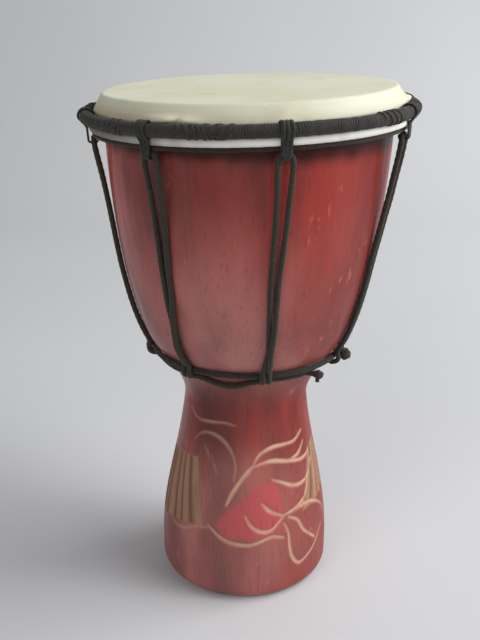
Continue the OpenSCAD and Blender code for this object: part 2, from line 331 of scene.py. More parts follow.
@dataclass
class Surface:
    """A mesh being made: points in millimetres, faces as runs of corners, and what is marked on it."""

    points: np.ndarray
    corners: np.ndarray
    sizes: np.ndarray
    uv: Optional[np.ndarray] = None
    marks: dict = field(default_factory=dict)

    @classmethod
    def woven(cls, grid: np.ndarray, ring_closed: bool = True, line_closed: bool = False,
              capped: bool = False) -> "Surface":
        """Faces between the neighbouring points of a grid.

        Args:
            grid: points with shape (along, round, 3).
            ring_closed: whether the last column joins the first.
            line_closed: whether the last row joins the first.
            capped: whether each end of an open line is closed by one face.

        Returns:
            The surface, with faces outwards and a UV map: u is the length along in centimetres and
            v runs from 0 to 1 round the ring.
        """
        rows, columns = grid.shape[:2]
        i, j = np.meshgrid(np.arange(rows if line_closed else rows - 1),
                           np.arange(columns if ring_closed else columns - 1), indexing="ij")
        ahead, beside = (i + 1) % rows, (j + 1) % columns
        quads = np.stack([i * columns + j, i * columns + beside,
                          ahead * columns + beside, ahead * columns + j], -1)
        middle = grid.mean(1)
        gaps = np.linalg.norm(np.diff(np.vstack([middle, middle[:1]]), axis=0), axis=1)
        along = np.concatenate([[0], np.cumsum(gaps)]) / 10
        uv = np.stack([np.stack([along[i], j / columns], -1), np.stack([along[i], (j + 1) / columns], -1),
                        np.stack([along[i + 1], (j + 1) / columns], -1),
                        np.stack([along[i + 1], j / columns], -1)], -2)
        corners, sizes, uv = quads.reshape(-1), np.full(quads.size // 4, 4), uv.reshape(-1, 2)
        if capped:
            ends = np.concatenate([np.arange(columns)[::-1], (rows - 1) * columns + np.arange(columns)])
            corners, sizes = np.concatenate([corners, ends]), np.concatenate([sizes, [columns, columns]])
            flat = np.stack([np.repeat([0, along[rows - 1]], columns),
                             np.tile(np.arange(columns) / columns, 2)], -1)
            uv = np.vstack([uv, flat])
        return cls(grid.reshape(-1, 3), corners, sizes, uv).outward()

    def outward(self) -> "Surface":
        """The surface with its faces turned outwards: if the volume they enclose comes out
        negative, every face's corners are taken in the other order."""
        start = np.cumsum(self.sizes) - self.sizes
        face = np.repeat(np.arange(self.sizes.size), self.sizes)
        place = np.arange(self.corners.size) - start[face]
        inner = (place > 0) & (place < self.sizes[face] - 1)
        k = np.nonzero(inner)[0]
        a, b, c = (self.points[self.corners[n]] for n in (start[face[k]], k, k + 1))
        if np.einsum("ij,ij->i", a, np.cross(b, c)).sum() < 0:
            self.corners, self.sizes = self.corners[::-1], self.sizes[::-1]
            self.uv = None if self.uv is None else self.uv[::-1]
        return self

    def piece(self, name: str, material: bpy.types.Material, slot: str,
              replaces: Sequence[str]) -> bpy.types.Object:
        """The surface as a finished piece, smooth, at the origin, riding on the drum.

        Args:
            name: the piece's name.
            material: its finish.
            slot: the record's material slot; not used.
            replaces: the CAD nodes it stands for.

        Returns:
            The new object.
        """
        mesh = bpy.data.meshes.new(name)
        mesh.vertices.add(len(self.points))
        mesh.vertices.foreach_set("co", (self.points * MM).astype(np.float32).ravel())
        mesh.loops.add(len(self.corners))
        mesh.loops.foreach_set("vertex_index", self.corners.astype(np.int32))
        mesh.polygons.add(len(self.sizes))
        mesh.polygons.foreach_set("loop_start", (np.cumsum(self.sizes) - self.sizes).astype(np.int32))
        mesh.update(calc_edges=True)
        mesh.polygons.foreach_set("use_smooth", np.ones(len(self.sizes), bool))
        if self.uv is not None:
            mesh.uv_layers.new(name="run").data.foreach_set("uv", self.uv.astype(np.float32).ravel())
        for mark, values in self.marks.items():
            layer = mesh.attributes.new(mark, "FLOAT", "POINT")
            layer.data.foreach_set("value", np.asarray(values, np.float32))
        mesh.materials.append(material)
        obj = bpy.data.objects.new(name, mesh)
        bpy.context.scene.collection.objects.link(obj)
        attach(obj, BODY)
        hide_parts(*replaces)
        LOG.info("%s: %d points, %d faces", name, len(self.points), len(self.sizes))
        return obj


def joined(parts: Sequence[Surface]) -> Surface:
    """Several surfaces as one, each with its faces kept."""
    shift = np.cumsum([0] + [len(p.points) for p in parts[:-1]])
    return Surface(np.vstack([p.points for p in parts]),
                   np.concatenate([p.corners + s for p, s in zip(parts, shift)]),
                   np.concatenate([p.sizes for p in parts]), np.vstack([p.uv for p in parts]))


@dataclass
class Strand:
    """A twisted cord swept along a line.

    Its section is a circle or an oval with one lobe for each ply, and the section turns once in
    each lay length. Round the section the radius is the full one, less the groove's depth times
    one minus the size of the cosine of the ply angle, so the grooves are sharp and the plies round.
    """

    line: np.ndarray
    radius: float
    plies: int = 3
    lay: float = 13.0
    groove: float = 0.16
    sides: int = 15
    thick: float = 1.0
    closed: bool = False
    end_round: float = 1.2
    across: Optional[np.ndarray] = None
    swell: Optional[np.ndarray] = None

    def surface(self) -> Surface:
        """The cord's surface, with rounded ends on an open line."""
        heading = headings(self.line, self.closed)
        side = self.across if self.across is not None else carried(heading, [0.31, 0.2, 1.0])
        side = unit(side - heading * np.sum(side * heading, -1, keepdims=True))
        up = np.cross(heading, side)
        gaps = np.linalg.norm(np.diff(self.line, axis=0, append=self.line[:1] if self.closed else None), axis=1) \
            if self.closed else np.linalg.norm(np.diff(self.line, axis=0), axis=1)
        along = np.concatenate([[0], np.cumsum(gaps)])
        length = along[-1]
        along = along[:len(self.line)]
        turns = max(1, round(length / self.lay)) if self.closed else length / self.lay
        angle = np.linspace(0, 2 * math.pi, self.sides, endpoint=False)[None, :]
        ply = self.plies / 2 * (angle - 2 * math.pi * turns * (along / length)[:, None])
        size = self.radius * (1 - self.groove * (1 - np.abs(np.cos(ply))))
        if self.swell is not None:
            size = size * self.swell[:, None]
        if not self.closed:
            near = np.minimum(along, length - along) / self.end_round
            size = size * np.sqrt(np.clip(1 - (1 - np.clip(near, 0, 1)) ** 2, 0.04, 1))[:, None]
        grid = (self.line[:, None] + (size * np.cos(angle))[..., None] * side[:, None]
                + (self.thick * size * np.sin(angle))[..., None] * up[:, None])
        return Surface.woven(grid, line_closed=self.closed, capped=not self.closed)


# ---------------------------------------------------------------- finishes

class Nodes:
    """Adds nodes to one shader tree and links them."""

    def __init__(self, tree: bpy.types.NodeTree) -> None:
        """Starts on a tree."""
        self.tree = tree

    def link(self, source: bpy.types.NodeSocket, target: bpy.types.NodeSocket) -> None:
        """Joins an output to an input."""
        self.tree.links.new(source, target)

    def feed(self, node: bpy.types.Node, inputs: dict) -> None:
        """Gives a node its inputs.

        Args:
            node: the node.
            inputs: a value or a socket for each named or numbered input. A socket is linked, and a
                value is set on the input itself.
        """
        for key, value in inputs.items():
            if isinstance(value, bpy.types.NodeSocket):
                self.link(value, node.inputs[key])
            else:
                node.inputs[key].default_value = value

    def add(self, kind: str, inputs: Optional[dict] = None, **settings: object) -> bpy.types.Node:
        """A new node.

        Args:
            kind: the node's type, without its ShaderNode prefix.
            inputs: a value or a socket for each named or numbered input.
            settings: the node's own properties.

        Returns:
            The node.
        """
        node = self.tree.nodes.new(("" if kind.startswith("Node") else "ShaderNode") + kind)
        for key, value in settings.items():
            setattr(node, key, value)
        self.feed(node, inputs or {})
        return node

    def effect(self, tree: bpy.types.NodeTree, inputs: dict) -> bpy.types.NodeOutputs:
        """Outputs of a shared group, given its inputs."""
        return self.add("Group", inputs, node_tree=tree).outputs

    def mark(self, name: str) -> bpy.types.NodeSocket:
        """Value of one of the piece's marks."""
        return self.add("Attribute", attribute_name=name).outputs["Fac"]

    def maths(self, operation: str, a: object, b: object = 0.0, clamp: bool = False) -> bpy.types.NodeSocket:
        """Result of a Math node's operation on one or two numbers."""
        return self.add("Math", {0: a, 1: b}, operation=operation, use_clamp=clamp).outputs[0]

    def times(self, a: object, b: object, clamp: bool = False) -> bpy.types.NodeSocket:
        """Product of two numbers, held to 0..1 if it is clamped."""
        return self.maths("MULTIPLY", a, b, clamp)

    def plus(self, a: object, b: object) -> bpy.types.NodeSocket:
        """Sum of two numbers."""
        return self.maths("ADD", a, b)

    def minus(self, a: object, b: object) -> bpy.types.NodeSocket:
        """The first number less the second."""
        return self.maths("SUBTRACT", a, b)

    def most(self, a: object, b: object) -> bpy.types.NodeSocket:
        """The larger of two numbers."""
        return self.maths("MAXIMUM", a, b)

    def spread(self, value: object, low: float, high: float, to_low: float = 0.0,
               to_high: float = 1.0) -> bpy.types.NodeSocket:
        """A value moved in a smooth step from one range to another and held at its ends."""
        return self.add("MapRange", {"Value": value, "From Min": low, "From Max": high, "To Min": to_low,
                                     "To Max": to_high}, interpolation_type="SMOOTHSTEP").outputs[0]

    def blend(self, share: object, a: object, b: object) -> bpy.types.NodeSocket:
        """Two colours mixed by a share.

        Args:
            share: how much of the second colour, from 0 to 1, as a number or a socket.
            a, b: the colours, each a socket or three 0-255 screen values.

        Returns:
            The mixed colour.
        """
        a, b = (v if isinstance(v, bpy.types.NodeSocket) else colour(v) for v in (a, b))
        return self.add("Mix", {0: share, 6: a, 7: b}, data_type="RGBA").outputs[2]

    def noise(self, vector: object, scale: object, detail: float = 4.0,
              rough: float = 0.55) -> bpy.types.NodeSocket:
        """Cloudy noise from about 0.2 to 0.8, centred on 0.5."""
        return self.add("TexNoise", {"Vector": vector, "Scale": scale, "Detail": detail,
                                     "Roughness": rough}).outputs["Fac"]

    def stretched(self, vector: object, scale: Sequence[float]) -> bpy.types.NodeSocket:
        """A vector with each direction scaled."""
        return self.add("Mapping", {"Vector": vector, "Scale": scale}).outputs[0]

    def bump(self, height: object, strength: float, distance: float) -> bpy.types.NodeSocket:
        """Normal of a surface that is raised by a height, up to a distance in metres."""
        return self.add("Bump", {"Height": height, "Strength": strength, "Distance": distance}).outputs[0]


def colour(value: Sequence[float]) -> tuple:
    """A colour written as three 0-255 screen values, as linear light with alpha 1."""
    c = np.asarray(value, float) / 255
    return (*np.where(c <= 0.04045, c / 12.92, ((c + 0.055) / 1.055) ** 2.4), 1.0)


def group(name: str, inputs: dict, outputs: Sequence[str]) -> tuple:
    """A new shader node group, with its sockets.

    Args:
        name: the group's name.
        inputs: each input's name and its default, or None for a vector.
        outputs: names of the float outputs.

    Returns:
        The tree, its Nodes, the inside end of its inputs, and the node that takes its outputs.
    """
    tree = bpy.data.node_groups.new(name, "ShaderNodeTree")
    for key, value in inputs.items():
        socket = tree.interface.new_socket(
            name=key, in_out="INPUT", socket_type="NodeSocketVector" if value is None else "NodeSocketFloat")
        if value is not None:
            socket.default_value = value
    for key in outputs:
        tree.interface.new_socket(name=key, in_out="OUTPUT", socket_type="NodeSocketFloat")
    nodes = Nodes(tree)
    return tree, nodes, nodes.add("NodeGroupInput").outputs, nodes.add("NodeGroupOutput")


class Effects:
    """Shader groups that several finishes share. Each puts out numbers only."""

    def __init__(self) -> None:
        """Builds every group once."""
        self.grain = self._grain()
        self.stain = self._stain()
        self.scuffs = self._scuffs()
        self.yarn = self._yarn()

    def _grain(self) -> bpy.types.NodeTree:
        """Wood grain: long vertical streaks and dark pores, from noise that is stretched along Z."""
        tree, n, given, out = group("wood_grain", {"Vector": None}, ("Streak", "Pores", "Height"))
        bend = n.noise(n.stretched(given["Vector"], (1, 1, 0.4)), 22, 2)
        wander = n.add("VectorMath", {0: given["Vector"], 1: n.times(n.minus(bend, 0.5), 0.012)},
                       operation="ADD").outputs[0]
        streak = n.noise(n.stretched(wander, (1, 1, 0.05)), 190, 5, 0.62)
        pores = n.noise(n.stretched(wander, (1, 1, 0.035)), 720, 3, 0.6)
        n.feed(out, {"Streak": n.spread(streak, 0.3, 0.7), "Pores": n.spread(pores, 0.54, 0.72),
                     "Height": n.minus(n.times(streak, 0.6), n.times(pores, 0.4))})
        return tree

    def _stain(self) -> bpy.types.NodeTree:
        """Uneven stain: broad clouds and smaller drips, longer upright than across."""
        tree, n, given, out = group("uneven_stain", {"Vector": None, "Scale": 14.0}, ("Clouds", "Drips"))
        clouds = n.noise(n.stretched(given["Vector"], (1, 1, 0.42)), given["Scale"], 3, 0.5)
        drips = n.noise(n.stretched(given["Vector"], (1, 1, 0.16)), n.times(given["Scale"], 4.2))
        n.feed(out, {"Clouds": n.spread(clouds, 0.34, 0.66), "Drips": n.spread(drips, 0.36, 0.68)})
        return tree

    def _scuffs(self) -> bpy.types.NodeTree:
        """Pale wear: sparse short marks where two stretched noises are both high, and a fine dust."""
        tree, n, given, out = group("pale_scuffs", {"Vector": None, "Amount": 0.5}, ("Marks", "Dust"))
        first = n.noise(n.stretched(given["Vector"], (1, 1, 0.4)), 240, 3, 0.5)
        second = n.noise(n.stretched(given["Vector"], (0.8, 1.1, 0.8)), 48, 2, 0.5)
        high = n.times(n.spread(first, 0.6, 0.68), n.spread(second, 0.55, 0.65))
        dust = n.spread(n.noise(given["Vector"], 900, 2, 0.6), 0.5, 0.75)
        n.feed(out, {"Marks": n.times(high, given["Amount"]), "Dust": n.times(dust, given["Amount"])})
        return tree

    def _yarn(self) -> bpy.types.NodeTree:
        """Spun fibre: fine lines that run along a cord at the angle of its twist, and loose fuzz."""
        tree, n, given, out = group("spun_yarn", {"Run": None, "Vector": None, "Twist": 1.0},
                                    ("Fibre", "Fuzz", "Height"))
        run = n.add("SeparateXYZ", {0: given["Run"]}).outputs
        angle = n.times(n.plus(run[1], n.times(run[0], given["Twist"])), 2 * math.pi)
        turned = n.add("CombineXYZ", {0: n.times(run[0], 2.0), 1: n.maths("SINE", angle),
                                      2: n.maths("COSINE", angle)}).outputs[0]
        fibre = n.noise(turned, 7.0, 4, 0.65)
        fuzz = n.noise(given["Vector"], 1500, 3, 0.7)
        n.feed(out, {"Fibre": n.spread(fibre, 0.3, 0.72), "Fuzz": n.spread(fuzz, 0.45, 0.72),
                     "Height": n.plus(n.times(fibre, 0.6), n.times(fuzz, 0.5))})
        return tree


def surface_tree(name: str) -> tuple:
    """A new material's Nodes, its Principled BSDF, and the Object coordinates.

    Args:
        name: the material's name.

    Returns:
        The material, its Nodes, the shader and the coordinate socket.
    """
    material = bpy.data.materials.new(name)
    material.use_nodes = True
    n = Nodes(material.node_tree)
    shader = next(x for x in material.node_tree.nodes if x.type == "BSDF_PRINCIPLED")
    return material, n, shader, n.add("TexCoord").outputs["Object"]


# The shell's marks: cuts, panels, flutes, patch and bare wood, then painted light, painted shade, a painted
# reflection, and a deeper red painted on the right side with a thinner coat.
SHELL_MARKS = ("carve", "panel", "flute", "patch", "bare", "painted_light", "painted_shade", "rust_and_painted_reflection", "matt_and_painted_shade")


@dataclass(frozen=True)
class LacqueredWood:
    """Red stain under a clear glossy coat, with raw wood where the stain is cut through."""

    dark: tuple = (101, 44, 41)
    middle: tuple = (178, 78, 68)
    # Bright red, for the drips and for the painted light on the right front.
    bright: tuple = (192, 55, 45)
    patch: tuple = (189, 85, 88)
    raw: tuple = (214, 174, 150)
    panel: tuple = (172, 132, 108)
    flute: tuple = (124, 88, 70)
    # Near black painted shade.
    painted_shade: tuple = (41, 25, 19)
    # Pale pink tone for the painted reflection.
    painted_reflection_tone: tuple = (190, 148, 143)
    pore: tuple = (62, 25, 23)
    scuff: tuple = (208, 134, 114)
    raw_shade: tuple = (190, 134, 108)
    inside_pale: tuple = (186, 148, 108)
    inside_dark: tuple = (142, 104, 70)
    stain_scale: float = 21.0
    scuffing: float = 0.8
    gloss: float = 0.36
    # Deeper red painted on the right side against the lamp's sheen.
    painted_shade_red: tuple = (104, 31, 27)

    def stained(self, n: Nodes, mark: dict, grain: object, stain: object, scuff: object) -> object:
        """Colour of the stain: clouds of two reds, brighter red in the drips and as painted light on the right
        front, the streaks, a deeper red painted on the right side against the lamp's sheen, a pale pink painted
        reflection low down and on the left, the painted patch, the pores and scuffs, and near black painted shade
        under the hoops and on the left.

        Args:
            n: the material's Nodes.
            mark: each mark's socket.
            grain, stain, scuff: outputs of the shared groups.

        Returns:
            The colour.
        """
        tone = n.blend(stain["Clouds"], self.dark, self.middle)
        # Brighter red in the drips, and painted light on the right front.
        lift = n.times(n.plus(n.times(stain["Drips"], 0.45), mark["painted_light"]), 0.75, clamp=True)
        tone = n.blend(lift, tone, self.bright)
        tone = n.blend(n.times(grain["Streak"], 0.26), tone, self.dark)
        # Deeper red painted on the right side against the lamp's sheen, where the coat is also taken off.
        tone = n.blend(n.times(mark["matt_and_painted_shade"], 0.68), tone, self.painted_shade_red)
        # A pale pink painted reflection, low down and on the left.
        painted_reflection_share = n.times(mark["rust_and_painted_reflection"], n.spread(stain["Clouds"], 0, 1, 0.4, 0.75))
        tone = n.blend(painted_reflection_share, tone, self.painted_reflection_tone)
        painted = n.times(mark["patch"], n.spread(grain["Streak"], 0, 1, 1.0, 0.8))
        tone = n.blend(painted, tone, self.patch)
        tone = n.blend(n.times(grain["Pores"], 0.26), tone, self.pore)
        tone = n.blend(n.times(scuff["Marks"], 0.4), tone, self.scuff)
        # Near black painted shade under the hoops and on the left.
        return n.blend(n.times(mark["painted_shade"], 0.92), tone, self.painted_shade)

    def bared(self, n: Nodes, mark: dict, grain: object, stain: object, tone: object) -> object:
        """The stain's colour, with wood where it is cut through: the fluted panels, the gouge cuts,
        and the bare rim, foot ring and hollow.

        Args:
            n: the material's Nodes.
            mark: each mark's socket.
            grain, stain: outputs of the shared groups.
            tone: the stain's colour.

        Returns:
            The colour.
        """
        slats = n.blend(mark["flute"], self.panel, self.flute)
        slats = n.blend(n.times(grain["Streak"], 0.35), slats, self.flute)
        tone = n.blend(mark["panel"], tone, slats)
        rawness = n.times(mark["carve"], n.spread(stain["Drips"], 0, 1, 1.0, 0.72))
        cut = n.blend(n.times(grain["Streak"], 0.3), self.raw, self.raw_shade)
        tone = n.blend(rawness, tone, cut)
        inside = n.blend(grain["Streak"], self.inside_pale, self.inside_dark)
        return n.blend(mark["bare"], tone, inside)

    def material(self, effects: Effects) -> bpy.types.Material:
        """The shader, led by the piece's marks, which SHELL_MARKS names.

        Args:
            effects: the shared groups.

        Returns:
            The material.
        """
        material, n, shader, spot = surface_tree("lacquered_wood")
        grain = n.effect(effects.grain, {"Vector": spot})
        stain = n.effect(effects.stain, {"Vector": spot, "Scale": self.stain_scale})
        scuff = n.effect(effects.scuffs, {"Vector": spot, "Amount": self.scuffing})
        mark = {name: n.mark(name) for name in SHELL_MARKS}
        tone = self.bared(n, mark, grain, stain, self.stained(n, mark, grain, stain, scuff))
        coated = n.minus(1.0, n.most(n.most(mark["carve"], mark["panel"]), mark["bare"]))
        # Less coat under the painted shade, and, on the next line, almost none under the deeper red painted on the
        # right side.
        coat = n.times(coated, n.minus(self.gloss, n.times(mark["painted_shade"], 0.3)))
        coat = n.times(coat, n.minus(1.0, n.times(mark["matt_and_painted_shade"], 0.95)))
        rough = n.plus(n.spread(grain["Streak"], 0, 1, 0.34, 0.46), n.times(n.minus(1.0, coated), 0.35))
        height = n.plus(grain["Height"], n.times(stain["Drips"], 0.3))
        n.feed(shader, {"Base Color": tone, "Coat Weight": coat, "Coat Roughness": 0.16,
                        "Specular IOR Level": 0.1, "Roughness": rough,
                        "Normal": n.bump(height, 0.35, 0.0006)})
        return material


@dataclass(frozen=True)
class Rawhide:
    """Pale scraped hide, a little waxy, with faint clouding and pleats at the hoop."""

    pale: tuple = (221, 221, 199)
    cloud: tuple = (209, 205, 169)
    vein: tuple = (187, 175, 150)
    # Painted shade: a darker brown for the collar's left side, away from the light.
    painted_collar_shade: tuple = (185, 154, 116)
    strip: tuple = (246, 243, 236)
    # Painted shade for the turned strip's left, where the crown hoop shades it, and a little uneven dirt.
    dirt_and_painted_shade: tuple = (112, 102, 88)

    def material(self, effects: Effects) -> bpy.types.Material:
        """The shader, led by three marks: the pale turned edge, the painted shade on its left with a little uneven
        dirt, and a darker brown painted shade on the left of the collar.

        Args:
            effects: the shared groups.

        Returns:
            The material.
        """
        material, n, shader, spot = surface_tree("rawhide")
        dust = n.effect(effects.scuffs, {"Vector": spot, "Amount": 0.5})["Dust"]
        clouds = n.noise(spot, 16)
        fine = n.noise(spot, 420, 3, 0.6)
        tone = n.blend(n.spread(clouds, 0.4, 0.7, 0, 0.55), self.pale, self.cloud)
        tone = n.blend(n.spread(n.noise(spot, 46, 5, 0.65), 0.56, 0.74, 0, 0.3), tone, self.vein)
        tone = n.blend(n.times(dust, 0.25), tone, self.vein)
        # Painted shade on the left of the collar.
        tone = n.blend(n.mark("painted_collar_shade"), tone, self.painted_collar_shade)
        tone = n.blend(n.mark("strip"), tone, self.strip)
        # Painted shade on the strip's left, and a little uneven dirt.
        tone = n.blend(n.mark("dirt_and_painted_shade"), tone, self.dirt_and_painted_shade)
        height = n.plus(fine, n.times(clouds, 2.0))
        n.feed(shader, {"Base Color": tone, "Roughness": n.spread(fine, 0.3, 0.7, 0.5, 0.64),
                        "Coat Weight": 0.05, "Coat Roughness": 0.4, "Specular IOR Level": 0.25,
                        "Normal": n.bump(height, 0.2, 0.0004)})
        return material


@dataclass(frozen=True)
class BlackCord:
    """Dull black spun cord, its raised fibres a little greyer."""

    name: str = "black_cord"
    deep: tuple = (30, 29, 27)
    worn: tuple = (74, 73, 68)
    twist: float = 0.8
    rough: float = 0.82
    dust: tuple = (112, 110, 104)

    def material(self, effects: Effects) -> bpy.types.Material:
        """The shader, its fibres laid along the piece's own UV map.

        Args:
            effects: the shared groups.

        Returns:
            The material.
        """
        material, n, shader, spot = surface_tree(self.name)
        run = n.add("UVMap", uv_map="run").outputs[0]
        yarn = n.effect(effects.yarn, {"Run": run, "Vector": spot, "Twist": self.twist})
        dust = n.effect(effects.scuffs, {"Vector": spot, "Amount": 0.6})["Dust"]
        tone = n.blend(n.times(yarn["Fibre"], 0.55), self.deep, self.worn)
        tone = n.blend(n.times(yarn["Fuzz"], 0.5), tone, self.worn)
        tone = n.blend(n.times(dust, 0.25), tone, self.dust)
        n.feed(shader, {"Base Color": tone,
                        "Roughness": n.spread(yarn["Fibre"], 0, 1, self.rough, self.rough - 0.12),
                        "Specular IOR Level": 0.25, "Sheen Weight": 0.12, "Sheen Roughness": 0.5,
                        "Normal": n.bump(yarn["Height"], 0.6, 0.0003)})
        return material


@dataclass(frozen=True)
class HoopSteel:
    """Plain drawn steel with brown rust, inside the windings."""

    bright: tuple = (150, 148, 144)
    rust_and_painted_reflection: tuple = (112, 82, 60)
    dust: tuple = (178, 174, 168)

    def material(self, effects: Effects) -> bpy.types.Material:
        """The shader for the hidden hoops.

        Args:
            effects: the shared groups.

        Returns:
            The material.
        """
        material, n, shader, spot = surface_tree("hoop_steel")
        dust = n.effect(effects.scuffs, {"Vector": spot})["Dust"]
        rust = n.spread(n.noise(spot, 60), 0.5, 0.68)
        tone = n.blend(n.times(dust, 0.3), n.blend(rust, self.bright, self.rust_and_painted_reflection), self.dust)
        n.feed(shader, {"Base Color": tone, "Metallic": n.spread(rust, 0, 1, 1.0, 0.2),
                        "Roughness": n.spread(rust, 0, 1, 0.34, 0.75)})
        return material


class CordUse(Enum):
    """Where a black cord is used, with its finish."""

    LACING = BlackCord("lacing_cord_black", (30, 27, 21), (70, 62, 49), 0.9)
    LOOP = BlackCord("loop_cord_black", (21, 21, 19), (56, 55, 51), 1.4)
    CROWN = BlackCord("crown_cord_black", (26, 25, 23), (70, 68, 62), 1.2, 0.9)
    WAIST = BlackCord("waist_cord_black", (26, 24, 20), (59, 56, 48), 1.2, 0.88)
    HEM = BlackCord("hem_cord_brown", (26, 17, 13), (56, 42, 31), 1.6)


# ---------------------------------------------------------------- the shell

@dataclass(frozen=True)
class Stroke:
    """One gouge cut: the places it passes, as (azimuth, height), its width, and how raw it looks."""

    places: tuple
    width: float = 2.4
    raw: float = 1.0


LEAF_SPRAY = (
    Stroke(((-60, 114), (-52, 111), (-44, 110), (-31, 111), (-18, 112), (-9, 111)), 1.7, 0.5),
    Stroke(((-50, 96), (-42, 102), (-34, 104), (-23, 103), (-14, 98), (-9, 92), (-7, 86), (-8, 78)),
           2.0, 0.42),
    Stroke(((-37, 96), (-33, 93), (-30, 88)), 1.4, 0.25),
    Stroke(((-28, 91), (-25, 86), (-22, 81)), 1.4, 0.25),
    Stroke(((-66, 40), (-49, 40), (-33, 46), (-25, 47)), 2.2, 0.4),
    Stroke(((-26, 49), (-17, 43), (-9, 40), (4, 39), (12, 41), (20, 43), (28, 41)), 2.4, 0.9),
    Stroke(((-13, 63), (-7, 73), (0, 81), (7, 87)), 3.0),
    Stroke(((6, 86), (12, 93), (23, 97), (37, 97), (48, 97), (58, 101)), 2.4),
    Stroke(((6, 86), (14, 88), (23, 89), (40, 86), (54, 84), (67, 86)), 2.6),
    Stroke(((40, 87), (50, 88), (59, 94)), 2.0),
    Stroke(((22, 78), (30, 75), (40, 71), (48, 70), (59, 72), (70, 80)), 2.4, 0.9),
    Stroke(((13, 64), (19, 59), (28, 55)), 2.2),
    Stroke(((1, 57), (5, 51), (12, 47), (19, 47), (25, 51), (30, 55)), 2.2),
    Stroke(((29, 55), (37, 56), (45, 58), (54, 63), (59, 72)), 2.2),
    Stroke(((30, 55), (41, 56), (53, 56), (66, 52), (76, 44), (80, 36)), 2.2, 0.85),
    Stroke(((33, 53), (41, 49), (46, 41), (58, 31)), 2.4),
    Stroke(((29, 50), (32, 44), (33, 34), (35, 26), (41, 20), (50, 22), (60, 28), (70, 36)), 2.2),
)
PATCH = ((-24, 50), (-12, 62), (0, 70), (8, 77), (24, 78), (29, 70), (30, 58), (30, 46), (16, 43), (4, 40),
         (-9, 41), (-17, 44))


@dataclass(frozen=True)
class FlutedPanel:
    """A sunk panel of upright flutes between two azimuths, which are given at mid height with how
    many degrees each side leans over one millimetre of height."""

    left: float
    left_lean: float
    right: float
    right_lean: float
    low: tuple
    high: tuple
    flutes: int


PANELS = (FlutedPanel(-84, 0, -35.5, -0.33, (38, 48), (82, 87), 5),
          FlutedPanel(54, 0.5, 91, 0, (53, 57), (88, 92), 4))
PANEL_MIDDLE_Z = 68


